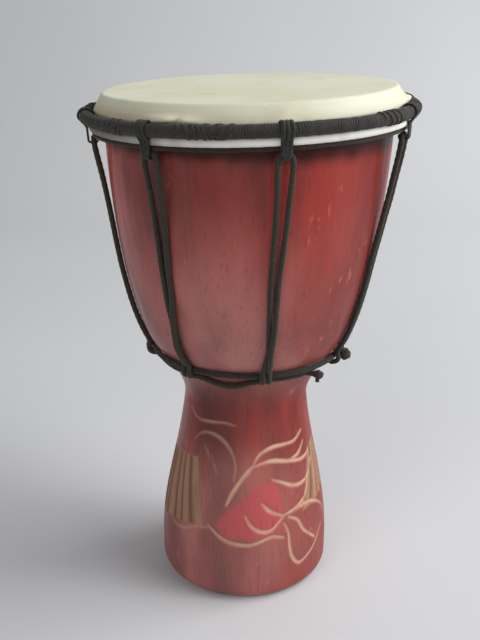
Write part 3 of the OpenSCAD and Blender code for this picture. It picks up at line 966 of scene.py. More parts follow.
@dataclass
class CarvedShell:
    """Bowl, throat and foot turned and carved from one block, open right through."""

    sizes: DrumSizes
    foot_columns: int = 416
    bowl_columns: int = 208
    inside_columns: int = 104
    gouge: float = 0.8
    cut_edge: float = 1.3
    unevenness: float = 0.13

    def foot_line(self) -> np.ndarray:
        """Outline of the foot's outside: the flat ring, the rounded edge, and up to the throat."""
        s = self.sizes
        edge = np.radians(np.linspace(-90, 0, 12))
        middle = np.array([s.foot_r - s.base_round, s.base_round])
        arc = middle + s.base_round * np.stack([np.cos(edge), np.sin(edge)], -1)
        belly = np.stack([np.full(14, s.foot_r), np.linspace(s.base_round, s.foot_belly_z, 16)[1:-1]], -1)
        side = curve_beside(s.foot_curve, np.linspace(0, 1, 118))
        land = [[middle[0] - 0.7 * s.base_land, 0], [middle[0] - 0.3 * s.base_land, 0]]
        return np.vstack([land, arc, belly, side])

    def bowl_line(self) -> np.ndarray:
        """Outline from above the throat to the rim's inner corner, as if the rim were level."""
        s = self.sizes
        under = curve_beside(s.under_curve, np.linspace(0.06, 1, 22))
        bowl = curve_beside(s.bowl_curve, np.linspace(0, 1, 60)[1:])
        bowl = bowl[bowl[:, 1] < s.rim_z - 5]
        bevel = s.shoulder_r - s.skin_t
        rim = [[s.rim_r - 0.01, s.rim_z - 2.6], [s.rim_r, s.rim_z - bevel],
               [s.rim_r - 0.2, s.rim_z - 0.75 * bevel],
               [s.rim_r - 0.8 * bevel, s.rim_z - 0.12 * bevel], [s.rim_r - bevel, s.rim_z],
               [s.rim_r - 0.5 * s.wall, s.rim_z], [s.rim_r - s.wall + 0.6, s.rim_z],
               [s.rim_r - s.wall + 0.15, s.rim_z - 0.15]]
        return np.vstack([under, bowl, rim])

    def inside_line(self) -> np.ndarray:
        """Outline of the hollow, from the rim down to the flat ring on the floor."""
        s = self.sizes
        bowl = curve_beside(s.bowl_curve, np.linspace(1, 0, 34), -s.wall)
        bowl = bowl[bowl[:, 1] < s.rim_z - 1]
        under = curve_beside(s.under_curve, np.linspace(1, 0, 14)[1:], -s.wall)
        foot = curve_beside(s.cavity_curve, np.linspace(1, 0, 34)[1:-1])
        return np.vstack([bowl, under, foot, [[s.cavity_curve[0][0], 0.0]]])

    def ring_points(self, line: np.ndarray, columns: int) -> tuple:
        """An outline carried round the axis.

        Args:
            line: places as [radius, height].
            columns: points in each ring.

        Returns:
            Azimuths in degrees and the radii and heights, all of shape (places, columns).
        """
        azimuth = np.broadcast_to(np.arange(columns) * 360 / columns, (len(line), columns))
        return azimuth, np.repeat(line[:, :1], columns, 1), np.repeat(line[:, 1:], columns, 1)

    def placed(self, azimuth: np.ndarray, radius: np.ndarray, z: np.ndarray) -> np.ndarray:
        """Points of the shell in space. The lean of the head comes in over the last 12 mm under
        the rim, as the rim is cut to it."""
        share = np.clip((z - (self.sizes.head_z - 14)) / 12, 0, 1)
        points = on_drum(radius, azimuth, z)
        points[..., 2] += share * points[..., 0] * math.sin(math.radians(self.sizes.crown_tilt))
        return points

    def stroke_depth(self, azimuth: np.ndarray, radius: np.ndarray, z: np.ndarray) -> tuple:
        """How deep the gouge cut at each place, and how raw the cut looks.

        A cut falls from its edge to its full depth in a smooth step, and its half width narrows
        to both ends and wavers on the way.

        Args:
            azimuth, radius, z: the places on the foot.

        Returns:
            Depth in millimetres and rawness from 0 to 1.
        """
        depth, raw = np.zeros(z.shape), np.zeros(z.shape)
        for turn in (0, 180):
            for stroke in LEAF_SPRAY:
                line = smooth_through(np.array(stroke.places, float) * [0.8, 1], 1.6) / [0.8, 1]
                reach = (np.abs(around(azimuth, turn + line[:, 0].mean())) < np.ptp(line[:, 0]) / 2 + 5) \
                    & (z > line[:, 1].min() - 3) & (z < line[:, 1].max() + 3)
                at_z, at_r = z[reach][:, None], radius[reach][:, None]
                run = np.radians(around(azimuth[reach], turn))[:, None] * at_r
                here = np.stack(np.broadcast_arrays(run, at_z), -1)
                shape = (len(at_r), len(line) - 1)
                a = np.stack([np.radians(line[:-1, 0])[None] * at_r, np.broadcast_to(line[:-1, 1], shape)], -1)
                b = np.stack([np.radians(line[1:, 0])[None] * at_r, np.broadcast_to(line[1:, 1], shape)], -1)
                run = b - a
                t = np.clip(np.sum((here - a) * run, -1) / np.maximum(np.sum(run * run, -1), 1e-9), 0, 1)
                away = np.linalg.norm(here - a - t[..., None] * run, axis=-1)
                along = (np.arange(len(line) - 1) + t) / (len(line) - 1)
                half = stroke.width / 2 * (0.35 + 0.5 * np.sin(math.pi * np.clip(along, 0.02, 0.98)) ** 0.6
                                           + 0.12 * np.sin(9 * along + 2 * stroke.width))
                within = (half - away).max(1)
                share = np.clip(0.5 + within / self.cut_edge, 0, 1)
                share = share * share * (3 - 2 * share)
                depth[reach] = np.maximum(depth[reach], self.gouge * min(1, 0.5 + 0.5 * stroke.raw) * share)
                raw[reach] = np.maximum(raw[reach], stroke.raw * share)
        return depth, raw

    def panel_marks(self, azimuth: np.ndarray, z: np.ndarray) -> tuple:
        """Where the sunk panels are, and the hollows of their flutes.

        Args:
            azimuth, z: the places on the foot.

        Returns:
            Two masks from 0 to 1.
        """
        inside, hollow = np.zeros(z.shape), np.zeros(z.shape)
        for turn in (0, 180):
            for panel in PANELS:
                left = panel.left + panel.left_lean * (z - PANEL_MIDDLE_Z)
                right = panel.right + panel.right_lean * (z - PANEL_MIDDLE_Z)
                centre = (panel.left + panel.right) / 2
                across = (around(azimuth, turn + centre) + centre - left) \
                    / (right - left)
                low = panel.low[0] + (panel.low[1] - panel.low[0]) * across
                high = panel.high[0] + (panel.high[1] - panel.high[0]) * across
                beside = np.minimum(across, 1 - across) * (right - left) * 0.8
                edge = np.minimum(beside, np.minimum(z - low, high - z))
                mask = np.clip(edge / 1.2 + 0.5, 0, 1)
                inside = np.maximum(inside, mask)
                valley = np.abs(np.cos(math.pi * panel.flutes * (across + 0.03 * np.sin(11 * across)))) ** 6
                hollow = np.maximum(hollow, mask * valley)
        return inside, hollow

    def patch_mask(self, azimuth: np.ndarray, z: np.ndarray) -> np.ndarray:
        """A painted area with a soft edge: 1 well inside its outline and 0 outside.

        A place is inside if a level line from it crosses the outline an odd number of times.

        Args:
            azimuth, z: the places on the foot.

        Returns:
            A mask from 0 to 1.
        """
        mask = np.zeros(z.shape)
        corners = np.array(PATCH, float)
        for turn in (0, 180):
            x = around(azimuth, turn)
            odd, near = np.zeros(z.shape, bool), np.full(z.shape, 9.0)
            for (x0, z0), (x1, z1) in zip(corners, np.roll(corners, -1, axis=0)):
                crossing = (z0 > z) != (z1 > z)
                odd ^= crossing & (x < x0 + (z - z0) * (x1 - x0) / (z1 - z0 if z1 != z0 else 1e-9))
                run = np.array([(x1 - x0) * 0.8, z1 - z0])
                t = np.clip(((x - x0) * 0.8 * run[0] + (z - z0) * run[1]) / (run @ run), 0, 1)
                near = np.minimum(near, np.hypot((x - x0) * 0.8 - t * run[0], z - z0 - t * run[1]))
            mask = np.maximum(mask, np.where(odd, np.clip(near / 3.5, 0, 1), 0))
        return mask

    def painted_light_at(self, azimuth: np.ndarray, z: np.ndarray) -> np.ndarray:
        """Painted light: brighter red stain on the right front of the bowl, and a little at the throat and low on
        the foot, where the light falls strongest.

        Args:
            azimuth, z: the places.

        Returns:
            A mask from 0 to 1.
        """
        by_height = np.interp(z, [0, 12, 24, 80, 105, 130, 170, 225], [0.5, 0.5, 0, 0, 0.35, 0.3, 0.2, 0.75])
        return by_height * hump(around(azimuth, 34 + 8 * np.sin(z * 0.05)), 24)

    def shade(self, azimuth: np.ndarray, z: np.ndarray) -> np.ndarray:
        """Painted shade, near black: a thin band under the hoops, where they shade the wood, and, less, the upper
        left of the bowl and the left of the throat, away from the light.

        Args:
            azimuth, z: the places.

        Returns:
            A mask from 0 to 1.
        """
        band = np.clip((z + 0.8 * ripple(np.radians(azimuth), 17, 5, 40) - 268) / 7, 0, 1)
        left = 0.26 * hump(around(azimuth, -14), 24) * np.interp(z, [200, 250], [0, 1])
        throat = 0.34 * hump(around(azimuth, -25), 38) * np.interp(z, [84, 104, 128, 150], [0, 1, 1, 0])
        return np.maximum(band, left + throat)

    def painted_reflection_at(self, azimuth: np.ndarray, z: np.ndarray) -> np.ndarray:
        """Painted reflection: a pale pink tone for the pale room seen in the gloss, low on the bowl and over the
        foot, most on the left.

        Args:
            azimuth, z: the places.

        Returns:
            A mask from 0 to 1.
        """
        by_height = np.interp(z, [0, 30, 80, 100, 120, 148, 175, 215, 255],
                              [0.55, 0.6, 0.55, 0.25, 0.15, 0.8, 0.7, 0.45, 0.1])
        return by_height * (0.16 + 0.84 * hump(around(azimuth, -25), 44))

    def surface(self) -> Surface:
        """The whole shell as one closed skin: foot, bowl and hollow, each with its own number of
        columns, joined by rings of five-sided faces where the number halves."""
        s = self.sizes
        marks: dict = {key: [] for key in SHELL_MARKS}
        grids = []

        azimuth, radius, z = self.ring_points(self.foot_line(), self.foot_columns)
        depth, raw = self.stroke_depth(azimuth, radius, z)
        panel, flute = self.panel_marks(azimuth, z)
        patch = self.patch_mask(azimuth, z)
        a = np.radians(azimuth)
        facets = ripple(a + z * 0.004, 5, 9, 21) * 0.55 + ripple(a - z * 0.002, 8, 3, 7)
        carved = depth + panel * 0.45 + flute * 0.5
        carved = carved * np.clip((z - 6) / 4, 0, 1)
        moved = radius - carved + self.unevenness * facets * np.clip((z - 1) / 8, 0, 1)
        grids.append(self.placed(azimuth, moved, z))
        # Besides the cuts, panels and patch: painted light on the right front, painted shade under the hoops and on
        # the left, a painted reflection low down and on the left, and painted shade with a thinner coat on the right
        # side.
        for key, value in (("carve", raw), ("panel", panel * (1 - raw)), ("flute", flute),
                           ("patch", patch * (1 - panel)), ("bare", np.where(z < 0.05, 1.0, 0.0)),
                           ("painted_light", self.painted_light_at(azimuth, z)), ("painted_shade", self.shade(azimuth, z)),
                           ("rust_and_painted_reflection", self.painted_reflection_at(azimuth, z)), ("matt_and_painted_shade", hump(around(azimuth, 66), 34))):
            marks[key].append(value)

        azimuth, radius, z = self.ring_points(self.bowl_line(), self.bowl_columns)
        a = np.radians(azimuth)
        facets = ripple(a + z * 0.003, 5, 9, 17) * 0.4 + ripple(a - z * 0.002, 8, 3, 7)
        moved = radius + self.unevenness * facets * np.clip((s.rim_z - 3 - z) / 8, 0, 1)
        grids.append(self.placed(azimuth, moved, z))
        rim = np.where((z > s.rim_z - 1.3) & (radius < s.rim_r - 1), 1.0, 0.0)
        # Painted light, painted shade, painted reflection and the right side's painted deeper red, as on the foot.
        painted_light = self.painted_light_at(azimuth, z)
        painted_shade = self.shade(azimuth, z)
        for key in marks:
            marks[key].append({"bare": rim, "painted_light": painted_light, "painted_shade": painted_shade, "rust_and_painted_reflection": self.painted_reflection_at(azimuth, z),
                               "matt_and_painted_shade": hump(around(azimuth, 68), 32)}.get(key, np.zeros(z.shape)))

        azimuth, radius, z = self.ring_points(self.inside_line(), self.inside_columns)
        a = np.radians(azimuth)
        scallops = np.abs(np.cos(9 * a + 0.5 * np.sin(z * 0.09))) * (0.6 + 0.4 * np.cos(z * 0.21 + 2 * a))
        ends = np.clip(z / 10, 0, 1) * np.clip((s.rim_z - 6 - z) / 10, 0, 1)
        moved = radius + 0.45 * (scallops - 0.5) * ends
        grids.append(self.placed(azimuth, moved, z))
        for key in marks:
            marks[key].append(np.full(z.shape, 1.0 if key == "bare" else 0.0))
        return self.stitched(grids, {k: np.concatenate([v.ravel() for v in vs]) for k, vs in marks.items()})

    def stitched(self, grids: Sequence[np.ndarray], marks: dict) -> Surface:
        """Grids with fewer and fewer columns as one closed surface.

        Args:
            grids: three grids in order round the outline, each with its columns a whole multiple
                of the next one's.
            marks: values for every point.

        Returns:
            The surface.
        """
        starts = np.cumsum([0] + [g.shape[0] * g.shape[1] for g in grids])
        corners, sizes = [], []
        for grid, start in zip(grids, starts):
            rows, columns = grid.shape[:2]
            i, j = np.meshgrid(np.arange(rows - 1), np.arange(columns), indexing="ij")
            beside = (j + 1) % columns
            quads = np.stack([i * columns + j, i * columns + beside, (i + 1) * columns + beside,
                              (i + 1) * columns + j], -1) + start
            corners.append(quads.reshape(-1))
            sizes.append(np.full(quads.size // 4, 4))
        for k in range(len(grids)):
            fine_first = k < len(grids) - 1
            nxt = (k + 1) % len(grids)
            columns, others = grids[k].shape[1], grids[nxt].shape[1]
            last, first = starts[k] + (grids[k].shape[0] - 1) * columns, starts[nxt]
            if fine_first:
                step, many = columns // others, columns
                j = np.arange(others)
                run = [last + (j * step + m) % many for m in range(step + 1)]
                band = np.stack(run + [first + (j + 1) % others, first + j], -1)
            else:
                step, many = others // columns, others
                j = np.arange(columns)
                run = [first + (j * step + m) % many for m in range(step, -1, -1)]
                band = np.stack([last + j, last + (j + 1) % columns] + run, -1)
            corners.append(band.reshape(-1))
            sizes.append(np.full(len(band), band.shape[1]))
        points = np.vstack([g.reshape(-1, 3) for g in grids])
        return Surface(points, np.concatenate(corners), np.concatenate(sizes), None, marks).outward()

    def make(self, effects: Effects) -> bpy.types.Object:
        """The finished shell."""
        material = LacqueredWood().material(effects)
        return self.surface().piece("carved_shell", material, "lacquered_wood", ["shell"])


# ---------------------------------------------------------------- the head

@dataclass(frozen=True)
class SkinFold:
    """A fold of hide that stands out over the crown hoop."""

    azimuth: float
    width: float
    out: float
    up: float


@dataclass
class RawhideHead:
    """The hide: flat top, shoulder, collar, and its turn round the flesh hoop."""

    sizes: DrumSizes
    columns: int = 640
    strip_pleats: int = 104
    folds: tuple = (SkinFold(-27, 6, 6.4, 1.8), SkinFold(80, 5.5, 3.2, 1.6), SkinFold(150, 6, 3.4, 1.0),
                    SkinFold(236, 8, 4.0, 1.2))

    def outline(self) -> np.ndarray:
        """Middle of the hide's thickness from the axis outwards, in the head's own frame."""
        s = self.sizes
        half = s.skin_t / 2
        flat = [[r, s.head_z - half] for r in (0.6, 6, 14, 24, 36, 48, 58, 66, 72, 76, 78.6)]
        middle = np.array([s.rim_r + 2 * s.seat_gap + s.skin_t - s.shoulder_r, s.head_z - s.shoulder_r])
        turn = np.radians([78, 62, 46, 30, 16])
        shoulder = middle + (s.shoulder_r - half) * np.stack([np.cos(turn), np.sin(turn)], -1)
        bear = np.radians([150, 160, 170, 180, 188])
        reach = s.crown_wrap_r + s.seat_gap + s.loop_t + 0.15 + half
        collar = s.crown_at + reach * np.stack([np.cos(bear), np.sin(bear)], -1)
        round_hoop = np.radians(np.arange(186, 482, 12.0))
        reach = s.flesh_wire_r + s.seat_gap + half
        hoop = s.flesh_at + reach * np.stack([np.cos(round_hoop), np.sin(round_hoop)], -1)
        return np.vstack([flat, shoulder, collar, hoop])

    def surface(self) -> Surface:
        """The hide as one thin closed skin: its outer face out to the trimmed edge, and its inner
        face back to the middle, half a thickness to each side of the outline."""
        s = self.sizes
        path = self.outline()
        path = np.vstack([path[:10], smooth_through(path[10:], 0.85)])
        heading = unit(np.gradient(path, axis=0))
        square = np.stack([-heading[:, 1], heading[:, 0]], -1)
        azimuth = np.arange(self.columns) * 360 / self.columns
        a = np.radians(azimuth)[None, :]
        near_loop = np.max([hump(around(azimuth, p), 2.6) for p in s.pairs], axis=0)[None, :]
        bear = hump(np.linalg.norm(path - (s.crown_at + [-4.6, 0.6]), axis=1), 3.0)[:, None]
        swell = bear * (0.95 * (1 - near_loop) - 0.1) * (0.85 + 0.15 * ripple(a, 3, 9, 30))
        low = (path[:, 1] < s.flesh_at[1] + 3)[:, None]
        hoop_side = np.clip((path[:, 0] - s.flesh_at[0]) / 2 + 0.3, 0, 1)[:, None] * low
        pleat = np.abs(np.cos(self.strip_pleats / 2 * a + 3 * ripple(a, 12, 3, 9))) ** 0.7
        strip = hoop_side * (0.16 * pleat - 0.06 + 0.06 * ripple(a, 4, 20, 60))
        wave = 0.1 * ripple(a, 9, 2, 6) * np.clip(path[:, 0] / 70, 0, 1)[:, None] * (path[:, 0] < 80)[:, None]
        radius = path[:, :1] + (swell + strip) * -square[:, :1]
        z = path[:, 1:] + (swell + strip) * -square[:, 1:] + wave
        for fold in self.folds:
            bulge = hump(around(azimuth, fold.azimuth), fold.width)[None, :] \
                * hump(np.linalg.norm(path - (s.crown_at + [-4.4, 4.2]), axis=1), 1.7)[:, None]
            beside = around(azimuth, fold.azimuth + 0.6 * fold.width)
            crease = 1 - 0.45 * hump(beside, 0.22 * fold.width)[None, :]
            radius, z = radius + fold.out * bulge * crease, z + fold.up * bulge
        half = s.skin_t / 2
        wall = half * np.concatenate([np.ones(len(path) - 3), [0.9, 0.7, 0.35]])[:, None]
        outer = on_drum(radius + wall * square[:, :1], azimuth[None, :], z + wall * square[:, 1:])
        inner = on_drum(radius - wall * square[:, :1], azimuth[None, :], z - wall * square[:, 1:])
        grid = s.leaned(np.vstack([outer, inner[::-1]]))
        made = Surface.woven(grid, capped=True)
        lower = np.where(path[:, 1] < s.flesh_at[1] + 4, 1.0, 0.0)
        mark = np.repeat(np.concatenate([lower, lower[::-1]]), self.columns)
        # Painted shade on the turned strip's left, where the crown hoop shades it, with a little uneven dirt all
        # round.
        dirt_and_shade = 0.95 * hump(around(azimuth, -62), 30) + 0.12 * ripple(a[0], 15, 9, 40) ** 2
        dim = np.tile(dirt_and_shade, 2 * len(path))
        # A darker brown painted shade on the left of the collar, away from the light.
        collar = np.clip((s.head_z - 2 - path[:, 1]) / 5, 0, 1)
        painted_collar_shade = np.tile(0.5 * hump(around(azimuth, -52), 34), 2 * len(path)) \
            * np.repeat(np.concatenate([collar, collar[::-1]]), self.columns)
        made.marks = {"strip": mark, "dirt_and_painted_shade": np.clip(dim, 0, 1) * mark, "painted_collar_shade": painted_collar_shade * (1 - mark)}
        made.uv = None
        return made

    def make(self, effects: Effects) -> bpy.types.Object:
        """The finished head."""
        head = self.surface().piece("rawhide_head", Rawhide().material(effects), "rawhide", ["drumhead"])
        return head


# ---------------------------------------------------------------- hoops and windings

@dataclass
class HoopWinding:
    """A flattened cord wound round a hoop, turn beside turn, so that it closes on itself.

    The cord's middle runs round the hoop's section once for each turn while it goes once round the
    drum. Its own section is an oval, wide along the hoop and thin away from it.
    """

    sizes: DrumSizes
    name: str
    slot: str
    node: str
    use: CordUse
    at: np.ndarray
    over: float
    width: float
    thick: float
    steps: int
    sides: int
    lump: float
    seed: int
    leaning: bool
    broad: float = 0.66
    crossings: tuple = ()

    def cord_line(self, share: np.ndarray, turns: float, start: float, reach: float, lift: float) -> tuple:
        """Middle of the wound cord and the direction away from the hoop.

        Args:
            share: places along the cord, from 0 to 1.
            turns: turns round the hoop's section.
            start: azimuth of the first turn, in radians.
            reach: how far it goes round the drum, in radians.
            lift: distance further out than the first layer.

        Returns:
            Points and unit vectors.
        """
        spin = 2 * math.pi * turns * share
        run = start + reach * share
        pitch = reach / turns
        sway = np.sin(spin + 3 * ripple(run, self.seed + 1, 3, 9))
        run = run + pitch * 0.2 * ripple(run, self.seed, 20, 70) + pitch * 0.7 * sway
        outside = 0.5 + 0.5 * np.cos(spin - 0.7)
        bulge = 1 + self.lump * outside * (0.35 + 0.65 * ripple(run, self.seed + 2, 4, 16)) \
            + 0.25 * self.lump * ripple(run, self.seed + 3, 60, 110)
        middle = (self.over - self.thick / 2 + lift) * bulge
        azimuth = np.degrees(run)
        line = on_drum(self.at[0] + middle * np.cos(spin), azimuth, self.at[1] + middle * np.sin(spin))
        away = on_drum(np.cos(spin), azimuth, np.sin(spin))
        return line, away

    def surface(self) -> Surface:
        """The winding, and any turns that cross over it."""
        turns = round(2 * math.pi * self.at[0] / self.width)
        share = np.arange(turns * self.steps) / (turns * self.steps)
        parts = [self.core(), self.swept(*self.cord_line(share, turns, 0.0, 2 * math.pi, 0.0), closed=True)]
        for azimuth, count, reach in self.crossings:
            share = np.linspace(0, 1, int(count * self.steps * 1.5))
            line, away = self.cord_line(share, count, math.radians(azimuth), math.radians(reach),
                                        0.45 * self.thick)
            parts.append(self.swept(line, away, closed=False))
        return joined(parts)

    def core(self) -> Surface:
        """The first layer of winding, seen only as dark cord between the turns of the second: a
        ring whose section swells a little at each turn."""
        run = np.linspace(0, 2 * math.pi, 600, endpoint=False)[:, None]
        spin = np.linspace(0, 2 * math.pi, 14, endpoint=False)[None, :]
        reach = self.over - 0.55 * self.thick + 0.04 * self.thick * np.cos(200 * run + spin)
        return Surface.woven(on_drum(self.at[0] + reach * np.cos(spin), np.degrees(run),
                                     self.at[1] + reach * np.sin(spin)),
                             line_closed=True)

    def swept(self, line: np.ndarray, away: np.ndarray, closed: bool) -> Surface:
        """The cord's oval carried along a line, its flat side to the hoop."""
        across = unit(np.cross(headings(line, closed), away))
        return Strand(line, self.width * self.broad, plies=2, lay=self.width * 1.9, groove=0.1, sides=self.sides,
                      thick=self.thick / (2 * self.width * self.broad), closed=closed, across=across,
                      end_round=self.width).surface()

    def make(self, effects: Effects) -> bpy.types.Object:
        """The finished winding."""
        made = self.surface()
        if self.leaning:
            made.points = self.sizes.leaned(made.points)
        return made.piece(self.name, self.use.value.material(effects), self.slot, [self.node])


@dataclass
class CrownLoops:
    """Seven loops of cord, each hitched over the crown hoop and under one bend of the lacing."""

    sizes: DrumSizes
    cords: int = 3

    def loop_line(self, azimuth: float, place: float, number: int) -> np.ndarray:
        """Middle of one cord of a loop, from behind the crown hoop, over it, down the front of the
        flesh hoop, and under the lacing's bend.

        Args:
            azimuth: where the loop is.
            place: which cord, from -1 to 1.
            number: the loop's number, which sets its small unevenness.

        Returns:
            Points in millimetres, not yet leaned.
        """
        s = self.sizes
        half = s.loop_t / 2
        bear = np.radians([250, 225, 200, 175, 150, 125, 100, 75, 50, 25, 0])
        over = s.crown_at + (s.crown_wrap_r + s.seat_gap + half) * np.stack([np.cos(bear), np.sin(bear)], -1)
        front = s.flesh_at[0] + s.flesh_r + s.seat_gap + half
        tip_out = front - s.seat_gap
        tip_in = s.bend_r - s.cord_d / 2 - s.seat_gap - half
        under = s.bend_low + 0.75
        down = [[front + 2.2, s.flesh_at[1] + 2.2], [front + 0.25, s.flesh_at[1] - 0.4],
                [front, s.hem_at[1] + 0.8], [tip_out, s.bend_z + 0.2], [tip_out - 0.3, under + 0.9],
                [s.bend_r, under], [tip_in + 0.3, under + 0.9],
                [tip_in, s.bend_z]]
        rz = np.vstack([over, down])
        wide = (s.loop_w / 2 - 1.1) * place
        narrow = (s.loop_tip_w / 2 - 0.3) * place
        share = np.concatenate([np.zeros(len(over)), [0, 0, 0.12, 0.62, 1, 1, 1, 1]])
        waver = 0.22 * np.sin(np.arange(len(rz)) * 1.3 + number * 2.1 + place * 1.7)
        side = wide * (1 - share) + narrow * share + waver * (1 - share)
        return smooth_through(on_drum(rz[:, 0], azimuth, rz[:, 1], side), 0.55)

    def surface(self, number: int) -> Surface:
        """All the cords of one loop."""
        s = self.sizes
        azimuth = s.pairs[number]
        parts = []
        for place in np.linspace(-1, 1, self.cords):
            line = self.loop_line(azimuth, place, number)
            along = np.linspace(0, 1, len(line))
            swell = 1.0 - 0.32 * np.clip((along - 0.78) / 0.1, 0, 1)
            a = math.radians(azimuth)
            across = np.broadcast_to(np.array([math.cos(a), math.sin(a), 0.0]), line.shape)
            parts.append(Strand(line, 1.14, plies=2, lay=4.2, groove=0.16, sides=12, thick=0.56, across=across,
                                swell=swell).surface())
        return joined(parts)

    def make(self, effects: Effects) -> list:
        """The seven finished loops."""
        material = CordUse.LOOP.value.material(effects)
        loops = []
        for number in range(len(self.sizes.pairs)):
            made = self.surface(number)
            made.points = self.sizes.leaned(made.points)
            loops.append(made.piece(f"loop_cords_{number + 1}", material, "black_cord",
                                    [f"crown_loop_{number + 1}"]))
        return loops


@dataclass
class HemCord:
    """Thin two-ply cord that runs round directly under the flesh hoop."""

    sizes: DrumSizes

    def make(self, effects: Effects) -> bpy.types.Object:
        """The finished cord: a closed ring, a little uneven in height."""
        s = self.sizes
        azimuth = np.arange(760) * 360 / 760
        a = np.radians(azimuth)
        # Drawn 1.22 times the CAD cord's radius and 0.2 mm lower, so that its dark band stands for the shade under
        # the flesh hoop as well as for the cord: partly cord, partly painted shade.
        radius = s.hem_at[0] + 0.1 * ripple(a, 21, 8, 30)
        line = s.leaned(on_drum(radius, azimuth, s.hem_at[1] - 0.2 + 0.12 * ripple(a, 22, 8, 30)))
        away = on_drum(np.ones(len(a)), azimuth, np.zeros(len(a)))
        cord = Strand(line, s.hem_cord_r * 1.22, plies=2, lay=4.6, groove=0.22, sides=10, closed=True, across=away)
        material = CordUse.HEM.value.material(effects)
        return cord.surface().piece("hem_cord_twist", material, "black_cord", ["hem_cord"])


# ---------------------------------------------------------------- the lacing

@dataclass
class Lacing:
    """One cord from the upper knot, through the seven crown loops and under the waist hoop between
    them, to the lower knot."""

    sizes: DrumSizes

    def pair_gap(self, z: np.ndarray, k: int) -> np.ndarray:
        """Distance between the strands of pair k at a height: it closes from the crown down to
        the place where one strand rides on the other, or where they lie side by side, and opens
        again to the waist hoop."""
        s = self.sizes
        cross_z = s.knee_z + s.cross_rise
        nearest = s.cord_d / 4 if s.rides[k] else s.cord_d + s.seat_gap
        above = np.interp((z - cross_z) / (s.bend_low - cross_z), [0, 0.22, 0.45, 0.7, 1],
                          [nearest, max(nearest, s.cord_d), s.cord_d + 1.2, s.cord_d + 2.6, s.pair_top])
        below = np.interp(z, [s.waist_at[1] + s.cord_d, cross_z], [s.cord_d + s.waist_space, nearest])
        return np.where(z > cross_z, above, below)

    def strand_places(self) -> np.ndarray:
        """Places down one strand, from the crown loop to the inside of the waist hoop."""
        s = self.sizes
        on_bowl, over_waist = s.cord_d / 2 + 2 * s.seat_gap, s.waist_wrap_r + s.cord_d / 2 + 2 * s.seat_gap
        landing = curve_beside(s.bowl_curve, np.array(0.55), on_bowl)
        top = np.array([s.bend_r, s.bend_low])
        straight = [top + f * (landing - top) for f in (0, 0.33, 0.66)]
        resting = curve_beside(s.bowl_curve, np.array([0.55, 0.46, 0.37, 0.29, 0.21, 0.14, 0.08]), on_bowl)
        turn = np.radians([40, 5, -30, -65, -100])
        under = s.waist_at + over_waist * np.stack([np.cos(turn), np.sin(turn)], -1)
        return np.vstack([straight, resting, under])

    def strand(self, k: int, side: int) -> np.ndarray:
        """One strand of pair k in space; the +1 strand lies on top where the two meet."""
        s = self.sizes
        places = self.strand_places()
        gap = self.pair_gap(places[:, 1], k)
        lift = np.sqrt(np.maximum(0, (s.cord_d + s.seat_gap) ** 2 - gap ** 2)) * (side > 0)
        level_z = s.knee_z + 0.43 * (s.head_z - s.knee_z)
        share = np.clip((places[:, 1] - level_z) / (s.bend_low - level_z), 0, 1)
        return s.leaned(on_drum(places[:, 0] + lift, s.pairs[k], places[:, 1], side * gap / 2), share)

    def pair(self, k: int, side: int, first: int) -> np.ndarray:
        """Up one strand of pair k from a place, round the bend in the crown loop, and down the other."""
        s = self.sizes
        turn = np.radians([36, 72, 108, 144])
        bend = s.leaned(on_drum(s.bend_r, s.pairs[k], s.bend_low + s.pair_top / 2 * np.sin(turn),
                                side * s.pair_top / 2 * np.cos(turn)))
        return np.vstack([self.strand(k, side)[first::-1], bend, self.strand(k, -side)])

    def waist_run(self, start: float, end: float, sag: float) -> np.ndarray:
        """Along under the waist hoop from one azimuth to another, hanging lower between them."""
        s = self.sizes
        u = np.arange(1, 8) / 8
        places = curve_beside(s.under_curve, s.run_at - s.sag_by * sag * np.sin(math.pi * u),
                              s.cord_d / 2 + 2 * s.seat_gap)
        return on_drum(places[:, 0], start + (end - start) * u, places[:, 1])

    def knot_middles(self) -> tuple:
        """Middles of the upper and the lower knot, against the waist hoop."""
        s = self.sizes
        reach = s.waist_wrap_r + s.lower_knot_r + s.seat_gap
        upper_reach = s.waist_wrap_r + s.upper_knot_r + s.seat_gap
        upper = on_drum(s.waist_at[0] + upper_reach, s.upper_knot_at, s.waist_at[1])
        lower = on_drum(s.waist_at[0] + 0.5 * reach, s.lower_knot_at, s.waist_at[1] - 0.87 * reach)
        return upper, lower

    def route(self) -> np.ndarray:
        """Places of the whole cord, knot to knot."""
        s = self.sizes
        ends = [p - 3.2 for p in s.pairs[1:]] + [s.lower_knot_at - 1]
        upper, lower = self.knot_middles()
        parts = [upper[None]]
        for k, azimuth in enumerate(s.pairs):
            parts.append(self.pair(k, 1 if k == 0 else -1, 9 if k == 0 else 14))
            parts.append(self.waist_run(azimuth + 3.2, ends[k], s.sags[k]))
        return np.vstack(parts + [lower[None]])

    def make(self, effects: Effects) -> list:
        """The finished cord and its two knots."""
        s = self.sizes
        material = CordUse.LACING.value.material(effects)
        line = smooth_through(self.route(), 0.95)
        length = np.linalg.norm(np.diff(line, axis=0), axis=1).sum()
        LOG.info("lacing cord: %.3f m from knot to knot", length * MM)
        heading = headings(line)
        along = np.arange(len(line)) * 0.95
        uneven = 1 + 0.035 * ripple(along / 120, 31, 4, 40)
        cord = Strand(line, s.cord_d / 2, plies=3, lay=12.0, groove=0.15, sides=15, swell=uneven,
                      across=carried(heading, [0.3, 0.2, 1.0]))
        upper, lower = self.knot_middles()
        return [cord.surface().piece("lacing_cord_twist", material, "lacing", ["lacing_cord"]),
                self.knot(upper, s.upper_knot_r, [20, 62, 10], None).piece(
                    "upper_knot_tied", material, "lacing", ["upper_knot"]),
                self.knot(lower, s.lower_knot_r, [10, 40, 60], s.cut_end).piece(
                    "lower_knot_tied", material, "lacing", ["lower_knot"])]

